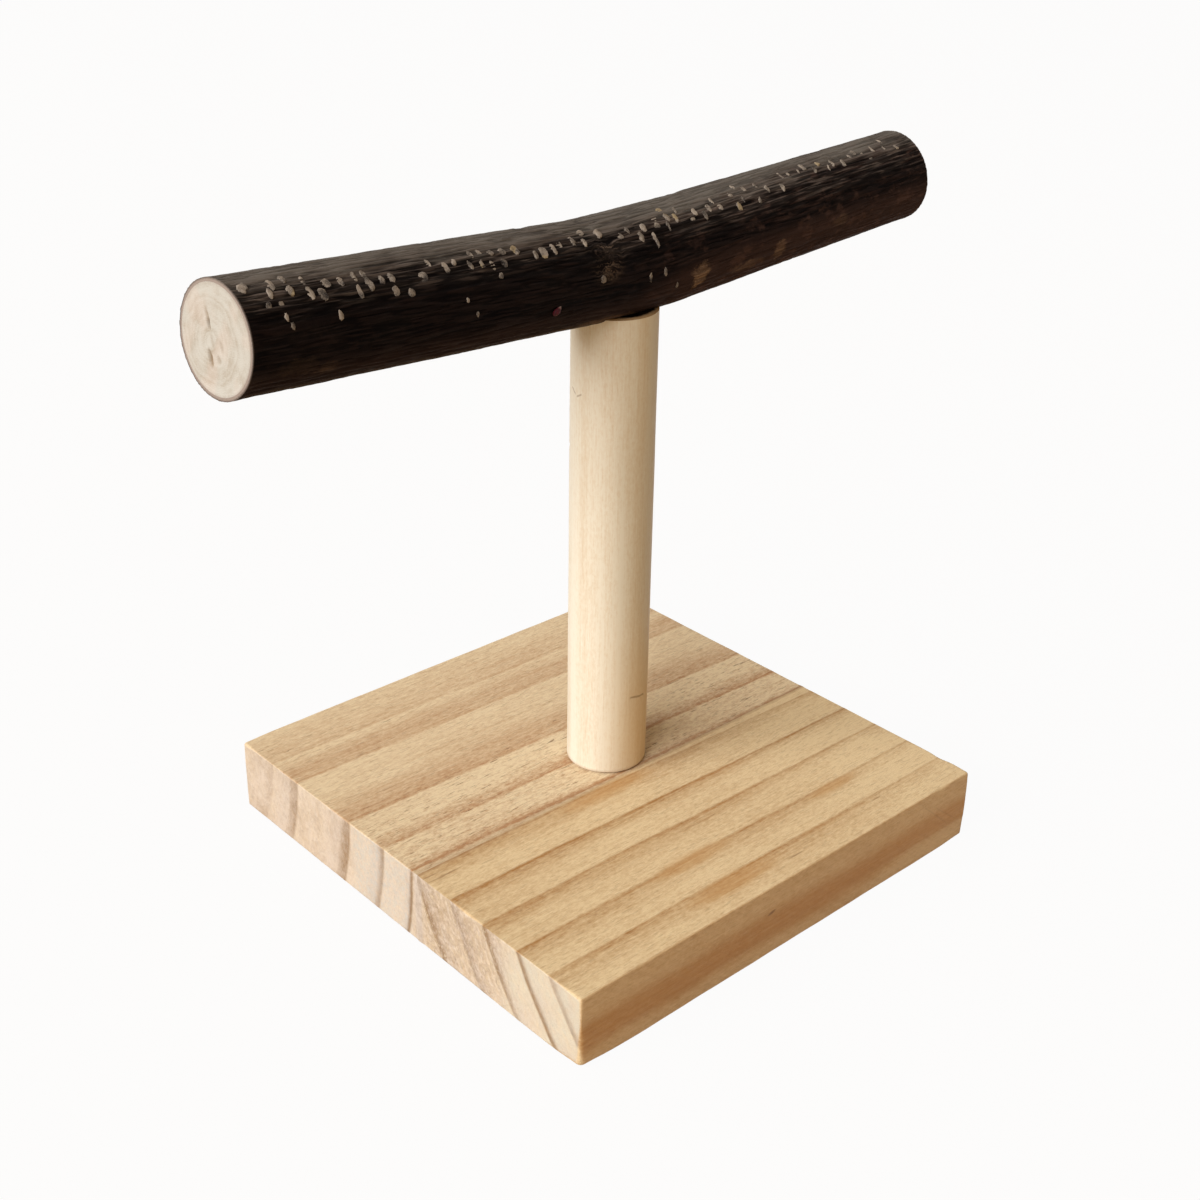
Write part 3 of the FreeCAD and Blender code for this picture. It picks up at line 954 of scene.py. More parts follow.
def solid_of(node):
    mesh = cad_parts[node].data
    points = [point.co for point in mesh.vertices]
    return BVHTree.FromPolygons(points, [face.vertices for face in mesh.polygons])


def hit(solid, start, direction):
    """Where a ray first meets a solid, in millimetres."""
    point = solid.ray_cast(Vector(start) * MM, Vector(direction))[0]
    if point is None:
        raise RuntimeError("a ray missed the branch")
    return np.array(point) / MM


def branch_line(count):
    """Reads the branch's line and radius off its solids and divides it evenly."""
    bark = solid_of("perch_bark")
    core = solid_of("perch_core")
    low, high = node_box("perch_bark")
    far = 200.0
    clear_of_ends = 8
    probes = 47
    reach_back = 6
    beyond = 40
    rows = []
    side = (low[1] + high[1]) / 2
    radius = 11.0
    for x in np.linspace(low[0] + clear_of_ends, high[0] - clear_of_ends, probes):
        for _ in range(3):
            top = hit(bark, (x, side, far), (0, 0, -1))[2]
            near = hit(bark, (x, -far, top - radius), (0, 1, 0))[1]
            back = hit(bark, (x, far, top - radius), (0, -1, 0))[1]
            side = (near + back) / 2
        radius = (back - near) / 2
        rows.append((x, side, top - radius, radius))
    rows = np.array(rows)
    line = rows[:, :3]
    ends = []
    for end, inner in ((line[0], line[reach_back]), (line[-1], line[-1 - reach_back])):
        out = (end - inner) / np.linalg.norm(end - inner)
        ends.append(hit(core, end + out * beyond, -out))
    line = np.vstack([ends[0], line, ends[1]])
    radius = np.concatenate([rows[:1, 3], rows[:, 3], rows[-1:, 3]])
    run = np.concatenate([[0], np.cumsum(np.linalg.norm(np.diff(line, axis=0), axis=1))])
    even = np.linspace(0, run[-1], count)
    centre = np.stack([np.interp(even, run, line[:, axis]) for axis in range(3)], -1)
    along = np.gradient(centre, axis=0)
    along /= np.linalg.norm(along, axis=1, keepdims=True)
    return Branch(centre, along, np.interp(even, run, radius) * along[:, 0], even)


def square_to(along):
    """The directions across the branch and up from it, square to its line."""
    across = np.cross((0, 0, 1), along)
    across /= np.linalg.norm(across, axis=-1, keepdims=True)
    return across, np.cross(along, across)


def rings_round(branch, rows, radius, segments):
    """Points of rings round the branch's line, and their places with the branch straightened out."""
    turn = np.linspace(0, math.tau, segments, endpoint=False)
    across, up = square_to(branch.along[rows])
    reach = np.asarray(radius)[:, None, None]
    out = np.sin(turn)[:, None] * across[:, None] + np.cos(turn)[:, None] * up[:, None]
    points = branch.centre[rows][:, None] + reach * out
    straight = np.empty(points.shape)
    straight[..., 0] = branch.run[rows][:, None]
    straight[..., 1] = reach[..., 0] * np.sin(turn)
    straight[..., 2] = reach[..., 0] * np.cos(turn)
    return points, straight


def store_places(piece, straight):
    """Keeps the straightened places on the mesh, so that patterns follow the branch."""
    kept = piece.data.attributes.new("straight", "FLOAT_VECTOR", "POINT")
    kept.data.foreach_set("vector", np.asarray(straight, np.float32).ravel())


def spot_mark(place, point, spot, ragged):
    """1 inside a spot on the bark, with a ragged rim."""
    half = (spot.length / 2, spot.width / 2, spot.width / 2)
    reach = place.vector("SUBTRACT", point).vector("DIVIDE", half).reach((0.0, 0.0, 0.0))
    return (reach + (ragged - 0.5) * 2.6).smooth(1.25, 0.6)


def scar_swirl(place, branch):
    """1 at the old bud scars, where the bark's lines bend round."""
    return strongest(place.reach(branch.unbent(scar)).smooth(scar.length, scar.length * 0.2)
                     for scar in BUD_SCARS)


def bark_flow(place, swirl):
    """The straightened place, moved so that lines along it waver and curl at the bud scars."""
    bent = place.noise((0.035, 0.16, 0.16), 2.0) - 0.5
    curl = swirl * (place.noise((0.2, 0.2, 0.2), 3.0, 0.6) - 0.5)
    return place.vector("ADD", place.joined(0.0, curl * 9.0, bent * 1.6 + curl * 6.0))


def bark_height(flow):
    """Height of the bark from 0 in a furrow to 1 on a crest."""
    broad = flow.noise((0.05, 0.36, 0.36), 2.0, 0.5)
    furrow = thin_lines(flow.noise((0.06, 0.9, 0.9), 2.0, 0.55), 9.5)
    cross = flow.noise((0.5, 0.75, 0.75), 2.0, 0.6)
    return (1 - furrow) * 0.6 + broad.smooth(0.3, 0.7) * 0.25 + cross.smooth(0.3, 0.7) * 0.15


def bark_material(look, branch):
    """Dark bark: black furrows, grey crests on top that are partly weathering and partly painted sheen and
    light, brown where it is rubbed.
    """
    material, start = new_material("dark_bark")
    place = straight_place(start)
    along, across, up = place.split()
    swirl = scar_swirl(place, branch)
    flow = bark_flow(place, swirl)
    thread = thin_lines(flow.noise((0.06, 0.8, 0.8), 1.0), 9.0)
    wrinkle = flow.noise((0.2, 2.6, 2.6), 3.0, 0.6)
    grit = place.noise((2.2, 3.6, 3.6), 3.0, 0.7)
    patch = place.noise((0.07, 0.2, 0.2), 3.0, 0.6)
    mottle = place.noise((0.22, 0.3, 0.3), 3.0, 0.65).smooth(0.5, 0.68)
    wisp = flow.noise((0.1, 1.1, 1.1), 3.0, 0.7).smooth(0.46, 0.7)
    right = along.smooth(92.0, 125.0)
    crest = bark_height(flow).smooth(0.22, 0.62)
    colour = crest.tint(look.furrow, look.bark)

    # Brown wisps and patches, more of them to the right and low down
    brown = (mottle * (0.12 + 0.88 * right) * 0.7).most(wisp * (0.12 + right * 0.33))
    low_side = (up - right * 5.0).smooth(-2.0, -7.0)
    low_right = right * (mottle * 0.5 + wrinkle * 0.6 + grit * 0.4 - 0.18)
    brown = brown.most(low_side * (0.02 + patch * 0.42 + low_right))
    colour = brown.tint(colour, look.brown)

    # Grey crests and fine threads over the upper side, partly weathering and partly painted sheen and light,
    # then a dull grey band along the top, partly dust and partly painted sheen, and dark cracks among the
    # pores
    weathering_and_painted_sheen = (up + (patch - 0.5) * 8.0 + right * 0.8).smooth(4.2, 10.8)
    streaked = 0.66 + (wrinkle - 0.5) * 1.1 + (grit - 0.5) * 0.6 + (patch - 0.5) * 0.5
    lined = across.smooth(-2.5, -5.5) * up.smooth(1.5, 6.0)
    pale = (crest * (0.55 + lined * 0.3) + 0.35 - lined * 0.3) * streaked
    pale = pale * (1 - along.smooth(70.0, 115.0) * 0.36)
    pale = pale * (1 - lined * 0.65) + thread * (0.1 + lined * 0.5)
    faint = 0.015 + 0.05 * thread * patch + swirl * thread * grit * 0.7
    colour = (pale * weathering_and_painted_sheen.most(faint)).tint(colour, look.crest)
    colour = (swirl * thread * grit.smooth(0.3, 0.7) * 0.5).tint(colour, look.rubbed)
    dust_and_painted_sheen = (up + (patch - 0.5) * 5.0).smooth(8.8, 11.8) * (0.38 + crest * 0.3 + right * 0.1)
    colour = dust_and_painted_sheen.tint(colour, look.dust_and_painted_sheen)
    crack = thin_lines(flow.noise((0.08, 1.0, 1.0), 2.0, 0.6), 8.0, 0.1, 0.7)
    colour = (crack * lined * up.smooth(11.0, 8.0) * 0.8).tint(colour, look.furrow)
    under = (up + (patch - 0.5) * 3.0).smooth(-8.4, -10.6) * (0.25 + wrinkle * 0.6)
    colour = under.tint(colour, look.under)

    # Rubbed spots, and the bark's thickness at the sawn ends
    ragged = place.noise((0.4, 0.5, 0.5), 4.0, 0.7)
    rubbed = strongest(spot_mark(place, branch.unbent(spot), spot, ragged) * spot.share
                       for spot in RUBBED_SPOTS)
    fibrous = (wisp * 0.2 + wrinkle * 0.4 + grit * 0.4).smooth(0.36, 0.62)
    colour = (rubbed * (0.3 + 0.7 * fibrous)).tint(colour, look.rubbed)
    last = float(branch.run[-1])
    edge = along * float((branch.radius[-1] - branch.radius[0]) / last) + float(branch.radius[0])
    depth = edge - distance(across, up)
    sawn = abs(along - last / 2).smooth(last / 2 - 0.3, last / 2 - 0.05)
    rim = (depth + (grit - 0.5) * 0.5).smooth(0.0, 0.5)
    colour = (sawn * (0.25 + rim * 0.75)).tint(colour, look.inner_bark)
    rough = 0.74 - pale * 0.16 + (grit - 0.5) * 0.2
    surface(start, {"Base Color": colour, "Roughness": rough, "Specular IOR Level": 0.025,
                    "Normal": bumped(start, wrinkle * 0.6 + grit * 0.4, 0.22)})
    return material


def drill_seat(piece, branch):
    """Drills the flat seat that the post's end is let into."""
    low, high = node_box("post")
    radius = (high[0] - low[0]) / 2 + SEAT_ROOM
    below = high[2] - 20
    drill = [(0, below), (radius, below), (radius, high[2]), (0, high[2])]
    cut_out(piece, turned("drill", drill, post_axis(), segments=96))
    place_new_points(piece, branch)


def place_new_points(piece, branch):
    """Works out straightened places for the points that a cut has added."""
    mesh = piece.data
    kept = mesh.attributes["straight"].data
    straight = np.empty(len(kept) * 3, np.float32)
    kept.foreach_get("vector", straight)
    straight = straight.reshape(-1, 3)
    points = np.empty(len(kept) * 3)
    mesh.vertices.foreach_get("co", points)
    added = np.flatnonzero(~straight.any(axis=1))
    points = points.reshape(-1, 3)[added] / MM
    row = np.abs(points[:, :1] - branch.centre[:, 0]).argmin(axis=1)
    along = branch.along[row]
    across, up = square_to(along)
    away = points - branch.centre[row]
    straight[added, 0] = branch.run[row] + (away * along).sum(axis=1)
    straight[added, 1] = (away * across).sum(axis=1)
    straight[added, 2] = (away * up).sum(axis=1)
    kept.foreach_set("vector", straight.ravel())


class PERCH_OT_bark(bpy.types.Operator):
    """Makes the bark as a furrowed shell round the branch's wood"""
    bl_idname = "perch.bark"
    bl_label = "Bark"

    def execute(self, context):
        look = context.scene.perch_branch
        branch = branch_line(BARK_ROWS)
        outside = np.arange(len(branch.run))
        inside = outside[::-INNER_STEP]
        outer, outer_place = rings_round(branch, outside, branch.radius, BARK_SEGMENTS)
        inner, inner_place = rings_round(branch, inside, branch.radius[inside] - BARK_THICK, BARK_SEGMENTS)
        points = np.concatenate([outer, inner])
        straight = np.concatenate([outer_place, inner_place])
        faces = grid_faces(len(points), BARK_SEGMENTS, close_rows=True)
        bark = mesh_piece("branch_bark", points.reshape(-1, 3), faces)
        store_places(bark, straight.reshape(-1, 3))
        close_up(bark)
        tree = ShapeTree("bark_furrows")
        depth = tree.number("Furrow depth", "NodeSocketFloat", look.furrow_depth / MM)
        place = tree.named("straight")
        along, across, up = place.split()
        thinnest = float(branch.radius.min())
        outer_only = distance(across, up).smooth(thinnest - 0.3, thinnest - 0.05)
        height = bark_height(bark_flow(place, scar_swirl(place, branch)))
        last = float(branch.run[-1])
        off_ends = along.least(last - along).smooth(0.0, 2.0) * 0.75 + 0.25
        sunk = (1 - height) * depth * outer_only * off_ends
        tree.apply(bark, tree.sink(sunk), bark_material(look, branch))
        drill_seat(bark, branch)
        finish(bark, "perch_bark", crease=75.0)
        return {"FINISHED"}


def pore_shape(look):
    """One corky pore: a low oval dome with a dimple and a skirt that reaches into the bark."""
    turn = np.linspace(0, math.tau, 10, endpoint=False)
    rings = ((1.0, -0.35), (0.96, 0.03), (0.7, 0.14), (0.3, 0.13))
    half = (look.pore_width / MM / 2, look.pore_length / MM / 2)
    points = [(half[0] * size * math.cos(a), half[1] * size * math.sin(a), rise)
              for size, rise in rings for a in turn]
    piece = mesh_piece("pore", points, grid_faces(len(rings), len(turn)))
    with reworked(piece) as work:
        rims = [edge for edge in work.edges if edge.is_boundary]
        bmesh.ops.holes_fill(work, edges=rims, sides=0)
        bmesh.ops.recalc_face_normals(work, faces=work.faces)
    return piece


def cork_material(look):
    """Corky pores: pale tan, each a little different, darker in the grain of the cork."""
    material, start = new_material("bark_cork")
    place = object_place(start)
    own = place.noise((0.45, 0.45, 0.45), 1.0)
    grain = place.noise((3.5, 3.5, 3.5), 3.0, 0.7)
    colour = ((own - 0.5) * 1.6 + (grain - 0.5) * 1.1).smooth(-0.35, 0.6).tint(look.cork, look.bark)
    yellow = place.noise((0.21, 0.21, 0.21), 0.0).smooth(0.72, 0.75) * 0.5
    colour = yellow.tint(colour, look.yellow_cork)
    surface(start, {"Base Color": colour, "Roughness": 0.7 + (grain - 0.5) * 0.3, "Specular IOR Level": 0.2,
                    "Normal": bumped(start, grain, 0.15)})
    return material


class PERCH_OT_pores(bpy.types.Operator):
    """Scatters the corky pores over the bark"""
    bl_idname = "perch.pores"
    bl_label = "Corky pores"

    def execute(self, context):
        look = context.scene.perch_branch
        bark = bpy.data.objects["branch_bark"]
        pores = bpy.data.objects.new("bark_pores", bark.data.copy())
        context.scene.collection.objects.link(pores)
        low, high = node_box("perch_bark")
        shape = pore_shape(look)
        tree = ShapeTree("pore_scatter")
        start = tree.start
        gap = tree.number("Pore gap", "NodeSocketFloat", look.pore_gap)
        seed = tree.number("Seed", "NodeSocketInt", look.pore_seed)
        model = tree.number("Pore", "NodeSocketObject", shape)

        # Most pores lie in a crowded row along the upper front, in clumps, clear of the sawn ends
        place = tree.named("straight")
        along, across, up = place.split()
        row_turn = 40.0
        bends_from = 95.0
        off_row = abs(bearing(across, up) + row_turn - (along - bends_from).most(0.0) * 0.2)
        crowded = off_row.smooth(18.0, 7.0)
        clumps = place.noise((0.12, 0.3, 0.3), 1.0).smooth(0.2, 0.36)
        share = crowded * clumps * 0.95
        length = high[0] - low[0]
        ends = along.smooth(1.0, 3.0) * along.smooth(length - 3.0, length - 5.0)
        outside = distance(across, up).smooth(10.6, 10.75)
        most_in_square_metre = 260000.0
        spread = start.node("GeometryNodeDistributePointsOnFaces", {"distribute_method": "POISSON"}, {
            "Mesh": tree.geometry, "Distance Min": gap, "Density Max": most_in_square_metre,
            "Density Factor": share * ends * outside, "Seed": seed}, "Points")

        # Each stands on the bark, and they get slimmer to the right
        normal = place.vector("MULTIPLY", (0.0, 1.0, 1.0))
        stand = start.node("FunctionNodeAxesToRotation", {"primary_axis": "Z", "secondary_axis": "X"},
                           {"Primary Axis": normal, "Secondary Axis": (1.0, 0.0, 0.0)})
        size = start.node("FunctionNodeRandomValue", {"data_type": "FLOAT_VECTOR"},
                          {"Min": (0.6, 0.7, 0.7), "Max": (1.3, 1.35, 1.2), "Seed": seed}, "Value")
        slim = 1.1 - along.smooth(90.0, 150.0) * 0.4
        slimmer = start.joined(slim, slim * 0.4 + 0.66, 1.0)
        shown = start.node("GeometryNodeObjectInfo", None, {"Object": model}, "Geometry")
        size = size.vector("MULTIPLY", slimmer)
        made = start.node("GeometryNodeInstanceOnPoints", None, {
            "Points": spread, "Instance": shown, "Rotation": stand, "Scale": size})
        single = start.node("GeometryNodeRealizeInstances", None, {"Geometry": made})
        noise = {"Vector": tree.place(), "Scale": 0.8, "Detail": 1.0}
        uneven = start.node("ShaderNodeTexNoise", None, noise, "Color")
        uneven_by = 0.75 * MM
        offset = uneven.vector("SUBTRACT", (0.5, 0.5, 0.5)).scaled(uneven_by)
        ragged = start.node("GeometryNodeSetPosition", None, {"Geometry": single, "Offset": offset})
        tree.apply(pores, ragged, cork_material(look))
        bpy.data.objects.remove(shape)
        drop_over_seat(pores)
        finish(pores)
        make_lone_pores(look)
        return {"FINISHED"}


def make_lone_pores(look):
    """The pores that lie by themselves, lower down the front."""
    branch = branch_line(BARK_ROWS)
    shape = pore_shape(look)
    size = len(shape.data.vertices)
    local = np.empty(size * 3)
    shape.data.vertices.foreach_get("co", local)
    local = local.reshape(-1, 3) / MM / (look.pore_width / MM, look.pore_length / MM, 1.0)
    faces = [tuple(face.vertices) for face in shape.data.polygons]
    bpy.data.objects.remove(shape)
    sunk = 0.12
    points = []
    for spot in LONE_PORES:
        foot, along, side, outwards = bark_spot(branch, spot)
        uneven = 1 + 0.16 * np.sin(np.arange(size) * 2.1 + spot.x)[:, None]
        flat = local[:, :1] * uneven * spot.length * along + local[:, 1:2] * uneven * spot.width * side
        points.append(foot + flat + (local[:, 2:] - sunk) * outwards)
    starts = [size * number for number in range(len(points))]
    every = [tuple(corner + first for corner in face) for first in starts for face in faces]
    piece = mesh_piece("lone_pores", np.concatenate(points), every)
    close_up(piece)
    piece.data.materials.append(cork_material(look))
    finish(piece)


def drop_over_seat(pores):
    """Leaves out the pores that would reach into the post."""
    clear = 0.3
    level = node_box("post")[1][2] + clear
    with reworked(pores) as work:
        grown = {point for point in work.verts if point.co.z / MM < level}
        edge = list(grown)
        while edge:
            point = edge.pop()
            for link in point.link_edges:
                other = link.other_vert(point)
                if other not in grown:
                    grown.add(other)
                    edge.append(other)
        bmesh.ops.delete(work, geom=list(grown), context="VERTS")


def bark_spot(branch, spot):
    """A point on the bark and the directions there: along the branch, round it and outwards."""
    row = int(np.argmin(np.abs(branch.centre[:, 0] - spot.x)))
    along = branch.along[row]
    across, up = square_to(along)
    turn = math.radians(spot.turn)
    outwards = math.sin(turn) * across + math.cos(turn) * up
    return branch.centre[row] + outwards * branch.radius[row], along, np.cross(outwards, along), outwards


def bud_material(look, tip):
    """Dark red bud scales, paler at the tip."""
    material, start = new_material("bud_scales")
    place = object_place(start)
    streak = place.noise((1.2, 4.0, 4.0), 3.0, 0.6)
    colour = streak.smooth(0.3, 0.7).tint(look.bud, look.bud_shade)
    colour = (place.reach(tuple(tip)).smooth(0.9, 0.2) * 0.4).tint(colour, look.cork)
    surface(start, {"Base Color": colour, "Roughness": 0.5 + (streak - 0.5) * 0.2, "Specular IOR Level": 0.12,
                    "Normal": bumped(start, streak, 0.06)})
    return material


class PERCH_OT_bud(bpy.types.Operator):
    """Makes the small red bud on the front of the branch"""
    bl_idname = "perch.bud"
    bl_label = "Bud"

    def execute(self, context):
        look = context.scene.perch_branch
        foot, along, side, outwards = bark_spot(branch_line(BARK_ROWS), RED_BUD)
        length = look.bud_length / MM
        rows = 25
        columns = 24
        step = np.linspace(0, 1, rows)[:, None, None]
        turn = np.linspace(0, math.tau, columns, endpoint=False)[None, :, None]
        scale = 1 - 0.16 * ((step * 3 + turn / math.tau * 2) % 1)
        girth = np.sin(math.pi * step ** 0.72) ** 0.85 * scale * length * 0.33
        girth[-1] = 0.0
        lean = (along * 0.35 + side) / np.linalg.norm(along * 0.35 + side)
        wide = np.cross(outwards, lean)
        points = (foot + lean * (step - 0.45) * length + outwards * (step * 0.5 - 0.15)
                  + outwards * girth * 0.8 * np.cos(turn) + wide * girth * np.sin(turn))
        bud = mesh_piece("branch_bud", points.reshape(-1, 3), grid_faces(rows, columns))
        close_up(bud)
        bud.data.materials.append(bud_material(look, points[-1, 0]))
        finish(bud)
        return {"FINISHED"}


class Crack(NamedTuple):
    """A crack or dark spot on a sawn end: its middle across and up from the branch's line, and half sizes."""
    across: float
    up: float
    half_width: float
    half_height: float
    lean: float
    depth: float
    share: float


PITH_CRACKS = (
    Crack(2.5, 3.5, 0.62, 2.6, 0.28, 0.25, 0.5),
    Crack(2.1, 2.3, 0.4, 1.1, 0.25, 0.8, 0.9),
    Crack(1.1, -0.6, 0.5, 1.7, 0.3, 0.1, 0.28),
    Crack(1.8, -3.9, 0.75, 1.8, 0.25, 0.6, 0.9),
    Crack(-0.8, -3.6, 0.8, 0.95, 0.2, 0.15, 0.38),
    Crack(-1.6, -0.9, 0.6, 1.4, 0.3, 0.1, 0.3),
)


def crack_mark(place, crack):
    """1 inside a crack of the sawn end."""
    _, across, up = place.split()
    ragged = place.noise((0.0, 1.1, 1.1), 2.0, 0.6) - 0.5
    rise = up - crack.up
    side = (across - crack.across - rise * crack.lean) / crack.half_width
    return (distance(side, rise / crack.half_height) + ragged * 0.8).smooth(1.2, 0.25)


def branch_wood_material(look):
    """Sawn branch wood: cream, with faint rings round an off-centre pith, its crack and saw marks."""
    material, start = new_material("branch_wood")
    place = straight_place(start)
    _, across, up = place.split()
    warp = (place.noise((0.0, 0.22, 0.22), 2.0) - 0.5) * 2.4
    reach = distance(across - 1.6, up + 0.6) + warp
    ring = place.joined(reach).noise((0.72, 0.0, 0.0), 2.0, 0.6)
    pore = place.noise((0.2, 3.6, 3.6), 3.0, 0.7)
    smear = place.noise((0.05, 0.28, 0.28), 3.0, 0.6)
    blush = place.noise((0.05, 0.2, 0.12), 1.0).smooth(0.45, 0.65)
    tan = abs(reach - 6.4).smooth(1.3, 0.2) * 0.16
    shade = tan + (ring - 0.5) * 1.1 + (pore - 0.5) * 0.7 + (smear - 0.5) * 1.1
    colour = shade.smooth(-0.25, 0.75).tint(look.wood, look.wood_ring)
    colour = (blush * 0.3).tint(colour, look.blush)
    rim = (distance(across, up) + (pore - 0.5) * 0.8).smooth(9.6, 10.9)
    colour = (rim * 0.45).tint(colour, look.inner_bark)
    crack = strongest(crack_mark(place, each) * each.share for each in PITH_CRACKS)
    colour = crack.tint(colour, look.pith)
    surface(start, {"Base Color": colour, "Roughness": 0.66 + (pore - 0.5) * 0.25, "Specular IOR Level": 0.25,
                    "Normal": bumped(start, pore + ring * 0.2, 0.12)})
    return material


class PERCH_OT_core(bpy.types.Operator):
    """Makes the branch's wood with its two sawn ends"""
    bl_idname = "perch.core"
    bl_label = "Branch wood"

    def execute(self, context):
        look = context.scene.perch_branch
        branch = branch_line(WOOD_ROWS)
        last = len(branch.run) - 1
        discs = np.linspace(0, 1, END_DISCS)
        rows = np.concatenate([np.zeros(END_DISCS, int), np.arange(1, last), np.full(END_DISCS, last)])
        gap = 0.01
        wood = branch.radius[rows] - BARK_THICK - gap
        wood[:END_DISCS] *= discs
        wood[-END_DISCS:] *= discs[::-1]
        points, straight = rings_round(branch, rows, wood, WOOD_SEGMENTS)
        core = mesh_piece("branch_wood", points.reshape(-1, 3), grid_faces(len(rows), WOOD_SEGMENTS))
        store_places(core, straight.reshape(-1, 3))
        close_up(core)
        tree = ShapeTree("sawn_ends")
        groove = tree.number("Saw groove", "NodeSocketFloat", look.groove / MM)
        place = tree.named("straight")
        along, across, up = place.split()
        half = branch.run[-1] / 2
        face = abs(along - half).smooth(half - 0.2, half - 0.05)
        thinnest = branch.radius.min() - BARK_THICK
        inner = distance(across, up).smooth(thinnest - 0.1, thinnest - 0.6)
        saw = place.joined(up + across * 0.3, across * 0.1).noise((1.1, 1.0, 0.0), 2.0, 0.6)
        sunk = saw * groove + place.noise((0.0, 0.8, 0.8), 3.0, 0.6) * 0.1
        left = along.smooth(1.0, 0.2)
        for crack in PITH_CRACKS:
            sunk = sunk + crack_mark(place, crack) * left * crack.depth
        tree.apply(core, tree.sink(sunk * face * inner), branch_wood_material(look))
        drill_seat(core, branch)
        top = node_box("perch_screw")[1][2] + 0.4
        pilot = [(0, PILOT_FROM), (SCREW_BORE, PILOT_FROM), (SCREW_BORE, top), (0, top)]
        cut_out(core, turned("pilot", pilot, post_axis(), segments=32))
        close_up(core, CUT_GAP)
        finish(core, "perch_core")
        return {"FINISHED"}


# Screws

class ScrewLook(bpy.types.PropertyGroup):
    """The two wood screws."""
    zinc: colour_setting("Zinc", "Colour of the plated steel", (0.60, 0.585, 0.54))
    dull: colour_setting("Dulled zinc", "Colour where the plating has dulled", (0.42, 0.385, 0.31))
    pitch: length_setting("Pitch", "Rise of the thread in a turn", 0.0018)
    thread_depth: length_setting("Thread depth", "Depth of the thread", 0.00055)
    recess: length_setting("Recess", "Reach of the cross recess from the middle", 0.0021)


def zinc_material(look):
    """Zinc plated steel, dulled in patches."""
    material, start = new_material("zinc_screw")
    place = object_place(start)
    cloud = place.noise((0.6, 0.6, 0.6), 3.0, 0.6)
    draw = place.noise((6.0, 6.0, 1.2), 2.0, 0.6)
    colour = (cloud * 0.7 + draw * 0.3).smooth(0.35, 0.7).tint(look.zinc, look.dull)
    surface(start, {"Base Color": colour, "Metallic": 1.0, "Roughness": 0.3 + cloud * 0.25,
                    "Normal": bumped(start, draw, 0.03)})
    return material


def threaded(look, name, centre, rows, segments=36):
    """A screw turned from (radius, height, share of thread) rows, with its thread cut into it."""
    radius, height, share = np.array(rows).T
    turn = np.linspace(0, math.tau, segments, endpoint=False)
    phase = (height[:, None] * MM / look.pitch - turn / math.tau) % 1.0
    ridge = np.clip(1.6 - np.abs(phase - 0.5) * 4.4, 0, 1)
    reach = radius[:, None] - share[:, None] * (1 - ridge) * look.thread_depth / MM
    thinnest = 0.15
    reach = np.where(radius[:, None] > 0, np.maximum(reach, thinnest), 0)
    return round_piece(name, reach, height, centre)


def thread_rows(low, high, radius, step):
    """Rows of full thread between two heights."""
    return [(radius, height, 1.0) for height in np.arange(low, high, step)]


def pointed(tip, towards, radius, step):
    """Rows of a screw's point, from its tip to the full thread."""
    count = int(abs(towards - tip) / step)
    shares = np.linspace(0, 1, count, endpoint=False)
    return [(radius * share ** 0.8 if share else 0.0, tip + (towards - tip) * share, share)
            for share in shares]


def cross_blade(look, centre, low, turn):
    """One of the two tapering blades that cut the recess in the screw's head."""
    reach = look.recess / MM
    points = []
    for z, size, half in ((low - 1.0, reach * 1.15, 0.5), (low + 2.0, reach * 0.35, 0.28)):
        for u, v in ((-size, -half), (size, -half), (size, half), (-size, half)):
            x = centre[0] + u * math.cos(turn) - v * math.sin(turn)
            y = centre[1] + u * math.sin(turn) + v * math.cos(turn)
            points.append((x, y, z))
    faces = [(3, 2, 1, 0), (4, 5, 6, 7), (0, 1, 5, 4), (1, 2, 6, 5), (2, 3, 7, 6), (3, 0, 4, 7)]
    return mesh_piece("cross_blade", points, faces)


class PERCH_OT_screws(bpy.types.Operator):
    """Makes the countersunk screw in the base and the double-ended screw in the branch"""
    bl_idname = "perch.screws"
    bl_label = "Screws"

    def execute(self, context):
        look = context.scene.perch_screws
        material = zinc_material(look)
        step = look.pitch / MM / 8
        shank = 2.0
        crease = 32.0

        low, high = node_box("base_screw")
        centre = (low + high) / 2
        head = (high[0] - low[0]) / 2
        rim = 0.3
        soft = rim / 2
        neck = low[2] + rim + head - shank
        plain = neck + 9
        tip = high[2] - 5
        rows = [(0.0, low[2], 0), (head * 0.5, low[2], 0), (head - soft, low[2], 0), (head, low[2] + soft, 0),
                (head, low[2] + rim, 0), (shank, neck, 0), (shank, plain, 0)]
        rows += thread_rows(plain + 0.4, tip, shank, step)
        rows += pointed(high[2], tip, shank, step)[::-1]
        base = threaded(look, "zinc_base_screw", centre, rows)
        for turn in (0.3, 0.3 + math.pi / 2):
            cut_out(base, cross_blade(look, centre, low[2], turn))
        base.data.materials.clear()
        base.data.materials.append(material)
        finish(base, "base_screw", crease)

        low, high = node_box("perch_screw")
        middle = node_box("post")[1][2]
        foot = low[2] + 4
        tip = high[2] - 4
        rows = pointed(low[2], foot, shank, step)
        rows += thread_rows(foot, middle - 2, shank, step)
        rows += [(shank, middle - 1.6, 0), (shank, middle + 1.6, 0)]
        rows += thread_rows(middle + 2, tip, shank, step)
        rows += pointed(high[2], tip, shank, step)[::-1]
        perch = threaded(look, "zinc_perch_screw", (low + high) / 2, rows)
        perch.data.materials.append(material)
        finish(perch, "perch_screw", crease)
        return {"FINISHED"}


# Stage

